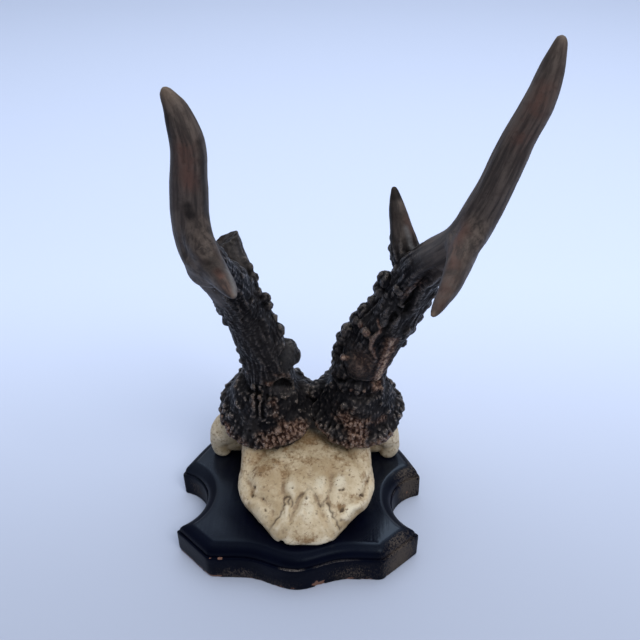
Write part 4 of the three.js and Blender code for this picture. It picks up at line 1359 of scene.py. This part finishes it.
def antler(side, material):
    seed = side["seed"]
    burr = Burr(side)
    paths = [side["beam"], side["back_tine"], side["front_tine"]]
    shells = [tube(path) for path in paths]
    shells += [tube(path, 16, 0.5) for path in side["strands"]] + burr.shells()
    shells += [ball(place, radius) for place, radius in side["lumps"]] + pearls(side["beam"])
    skin = Skin(skinned(piece(side["name"] + "_antler_look", shells)))
    skin.smooth(3)
    branch, share, grain = along_branches(skin.p, paths)
    rough = roughness(skin.p, side, branch, share)
    skin.smooth(30, 0.5 * (1 - rough))

    # The fine surface: bark, collar, shallow lines on the points, carved lines and the hollow.
    p = skin.p
    collar = burr.covers(p)
    calm = traced(p, side["calm"])
    crumb = fbm(p * 0.9, 2, seed + 16)
    grain_here = grainy(p, side)
    amount = rough * (1 - collar) * (1 - calm) * bark(p, grain, crumb, side)
    amount += collar * burr.relief(p, crumb, grain_here)
    lines = LINES * np.minimum(fbm(grain * (0.55, 0.55, 0.3), 3, seed + 11), 0.1)
    amount += (1 - rough) * (lines + 0.4 * fbm(p * 0.09, 3, seed + 12))
    ragged = p + 1.4 * drift(p, 0.28, 2, seed + 41)
    for deep, width, line in side["carved"]:
        amount += deep * bell(line_distance(ragged, line) / width)
    scooped, up_in_it = scoop(p, side)
    amount = amount * (1 - 0.7 * scooped) - SCOOP_DEPTH * scooped * (0.38 + 0.62 * up_in_it)
    skin.push(amount)
    for at, way, reach in side["planed"]:
        within = 1 - ramp(np.linalg.norm(skin.p - at, axis=1), 0.7 * reach, reach)
        proud = np.maximum((skin.p - at) @ unit(way), 0) * within
        skin.p = skin.p - PLANED * proud[:, None] * unit(way)
    skin.smooth(1, 0.3)
    skin.smooth(6, 0.5 * calm)
    if side["broken"]:
        broken_off(skin, p, branch, share)
    x = skin.p[:, 0]
    skin.p[:, 0] = np.where(skin.p[:, 2] < NECK_Z, side["stop"](x, side["meet"]), x)

    # What the material needs to know at each corner.
    patchy = ramp(fbm(p * 0.16, 3, seed + 30), -0.35, 0.25)
    fray = ramp(fbm(p * 0.4, 3, seed + 31), -0.4, 0.2)
    frayed = p + 0.9 * drift(p, 0.45, 2, seed + 51)
    tan = traced(frayed, side["tan"]) * (0.75 + 0.25 * fray)
    hollow = skin.hollowness(8)
    # Painted shade and light in the hollow under the neck: its upper part is painted dark under the lip,
    # and its floor is lifted out of the hollows' darkening so it reads as lit.
    shaded = ramp(up_in_it, -0.05, 0.35)
    hollow -= scooped * (1 - shaded) * (0.1 + 0.95 * np.maximum(hollow, 0))
    skin.values = {
        "rough": np.maximum(rough, collar),
        "collar": collar,
        "hollow": hollow,
        "grain": grain,
        "tan": np.maximum(tan, 0.9 * collar * grain_here * (0.45 + 0.55 * patchy)),
        "red": traced(p, side["red"]),
        "grey_and_sheen": traced(p, side["grey_and_sheen"]),
        "dark_and_shade": np.maximum(traced(p, side["dark_and_shade"]), scooped * shaded),
        "tip": np.choose(branch, side["tips"]) * ramp(share, 0.95, 1),
    }
    return skin.done(material)


# Put together.

horn = antler_material()
plaque = shield()
cap = skull([LEFT["burr"], RIGHT["burr"]])
left = antler(LEFT, horn)
right = antler(RIGHT, horn)
for obj, slot, nodes in [
    (plaque, "ebonised_wood", ["plaque"]),
    (cap, "bone", ["skull_cap"]),
    (left, "antler", ["left_antler", "left_front_stump", "left_back_tine"]),
    (right, "antler", ["right_antler", "right_front_tine", "right_back_tine"]),
]:
    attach(obj, "root")
    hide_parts(*nodes)


# Floor, light and camera, in metres.

FLOOR_HALF = 6
# The cloth is darker near the camera: painted shade for the light falling off there; lighter far off.
NEAR_Y, FAR_Y = -0.14, 0.2
NEAR_SHADED_COLOUR, FAR_COLOUR = (0.41, 0.45, 0.56), (0.68, 0.76, 0.96)
CAMERA_AT = np.array([20.1, -245.8, 259.2]) * MM
PITCH, YAW, ROLL = math.radians(34), math.radians(-2.39), math.radians(-1.06)
SENSOR, LENS, CLIP = 36, 40.5, 0.01
SKY_COLOUR = (0.82, 0.89, 1)
# How much the sky brightens towards the far side, and its range: lowest, highest, and the strengths there.
SKY_LEAN = 0.45
SKY_RANGE = (-0.3, 1, 0.22, 0.8)
# Lights: name, place, target, size, power, colour.
LIGHTS = [
    ("sky", (0.1, 0.25, 1.3), (0, 0, 0.05), 1.6, 8, (0.92, 0.96, 1)),
    ("window", (0.5, -0.7, 1.1), (0, 0, 0.08), 0.6, 7, (1, 0.98, 0.95)),
]


def floor():
    h = FLOOR_HALF
    mesh = bpy.data.meshes.new("floor")
    mesh.from_pydata([(-h, -h, 0), (h, -h, 0), (h, h, 0), (-h, h, 0)], [], [(0, 1, 2, 3)])
    obj = placed("floor", mesh)
    m = Nodes(bpy.data.materials.new("cloth"))
    away = m.node("SeparateXYZ", {"Vector": m.here})["Y"]
    # Painted shade: darker towards the camera.
    colour = m.mix(m.map(away, NEAR_Y, FAR_Y), NEAR_SHADED_COLOUR, FAR_COLOUR)
    mesh.materials.append(m.finish(Base_Color=colour, Roughness=0.9, Specular_IOR_Level=0.1))


def stand(obj, side, up, away, at):
    """Puts an object at a place with its own axes along three directions."""
    obj.matrix_world = Matrix([*np.column_stack([side, up, away, at]).tolist(), (0, 0, 0, 1)])


def light(name, at, target, size, power, colour):
    lamp = bpy.data.lights.new(name, "AREA")
    lamp.shape = "DISK"
    lamp.size = size
    lamp.energy = power
    lamp.color = colour
    away = unit(np.array(at, float) - np.array(target, float))
    side = unit(np.cross((0, 0.01, 1), away))
    stand(placed(name, lamp), side, np.cross(away, side), away, at)


def camera():
    forward = np.array([math.sin(YAW) * math.cos(PITCH), math.cos(YAW) * math.cos(PITCH), -math.sin(PITCH)])
    level = np.array([math.cos(YAW), -math.sin(YAW), 0])
    above = np.cross(level, forward)
    side = math.cos(ROLL) * level + math.sin(ROLL) * above
    up = math.cos(ROLL) * above - math.sin(ROLL) * level
    lens = bpy.data.cameras.new("camera")
    lens.sensor_width = SENSOR
    lens.lens = LENS
    lens.clip_start = CLIP
    obj = placed("camera", lens)
    stand(obj, side, up, -forward, CAMERA_AT)
    bpy.context.scene.camera = obj


def sky():
    """A pale surround, brightest high up and behind the mount."""
    world = bpy.data.worlds.new("world")
    bpy.context.scene.world = world
    m = Nodes(world, "Generated")
    way = m.node("SeparateXYZ", {"Vector": m.here})
    lean = m.maths("MULTIPLY_ADD", way["Y"], SKY_LEAN, way["Z"])
    m.finish("Background", Color=SKY_COLOUR, Strength=m.map(lean, *SKY_RANGE, how="LINEAR"))


floor()
for row in LIGHTS:
    light(*row)
camera()
sky()
bpy.context.scene.view_settings.view_transform = "Standard"
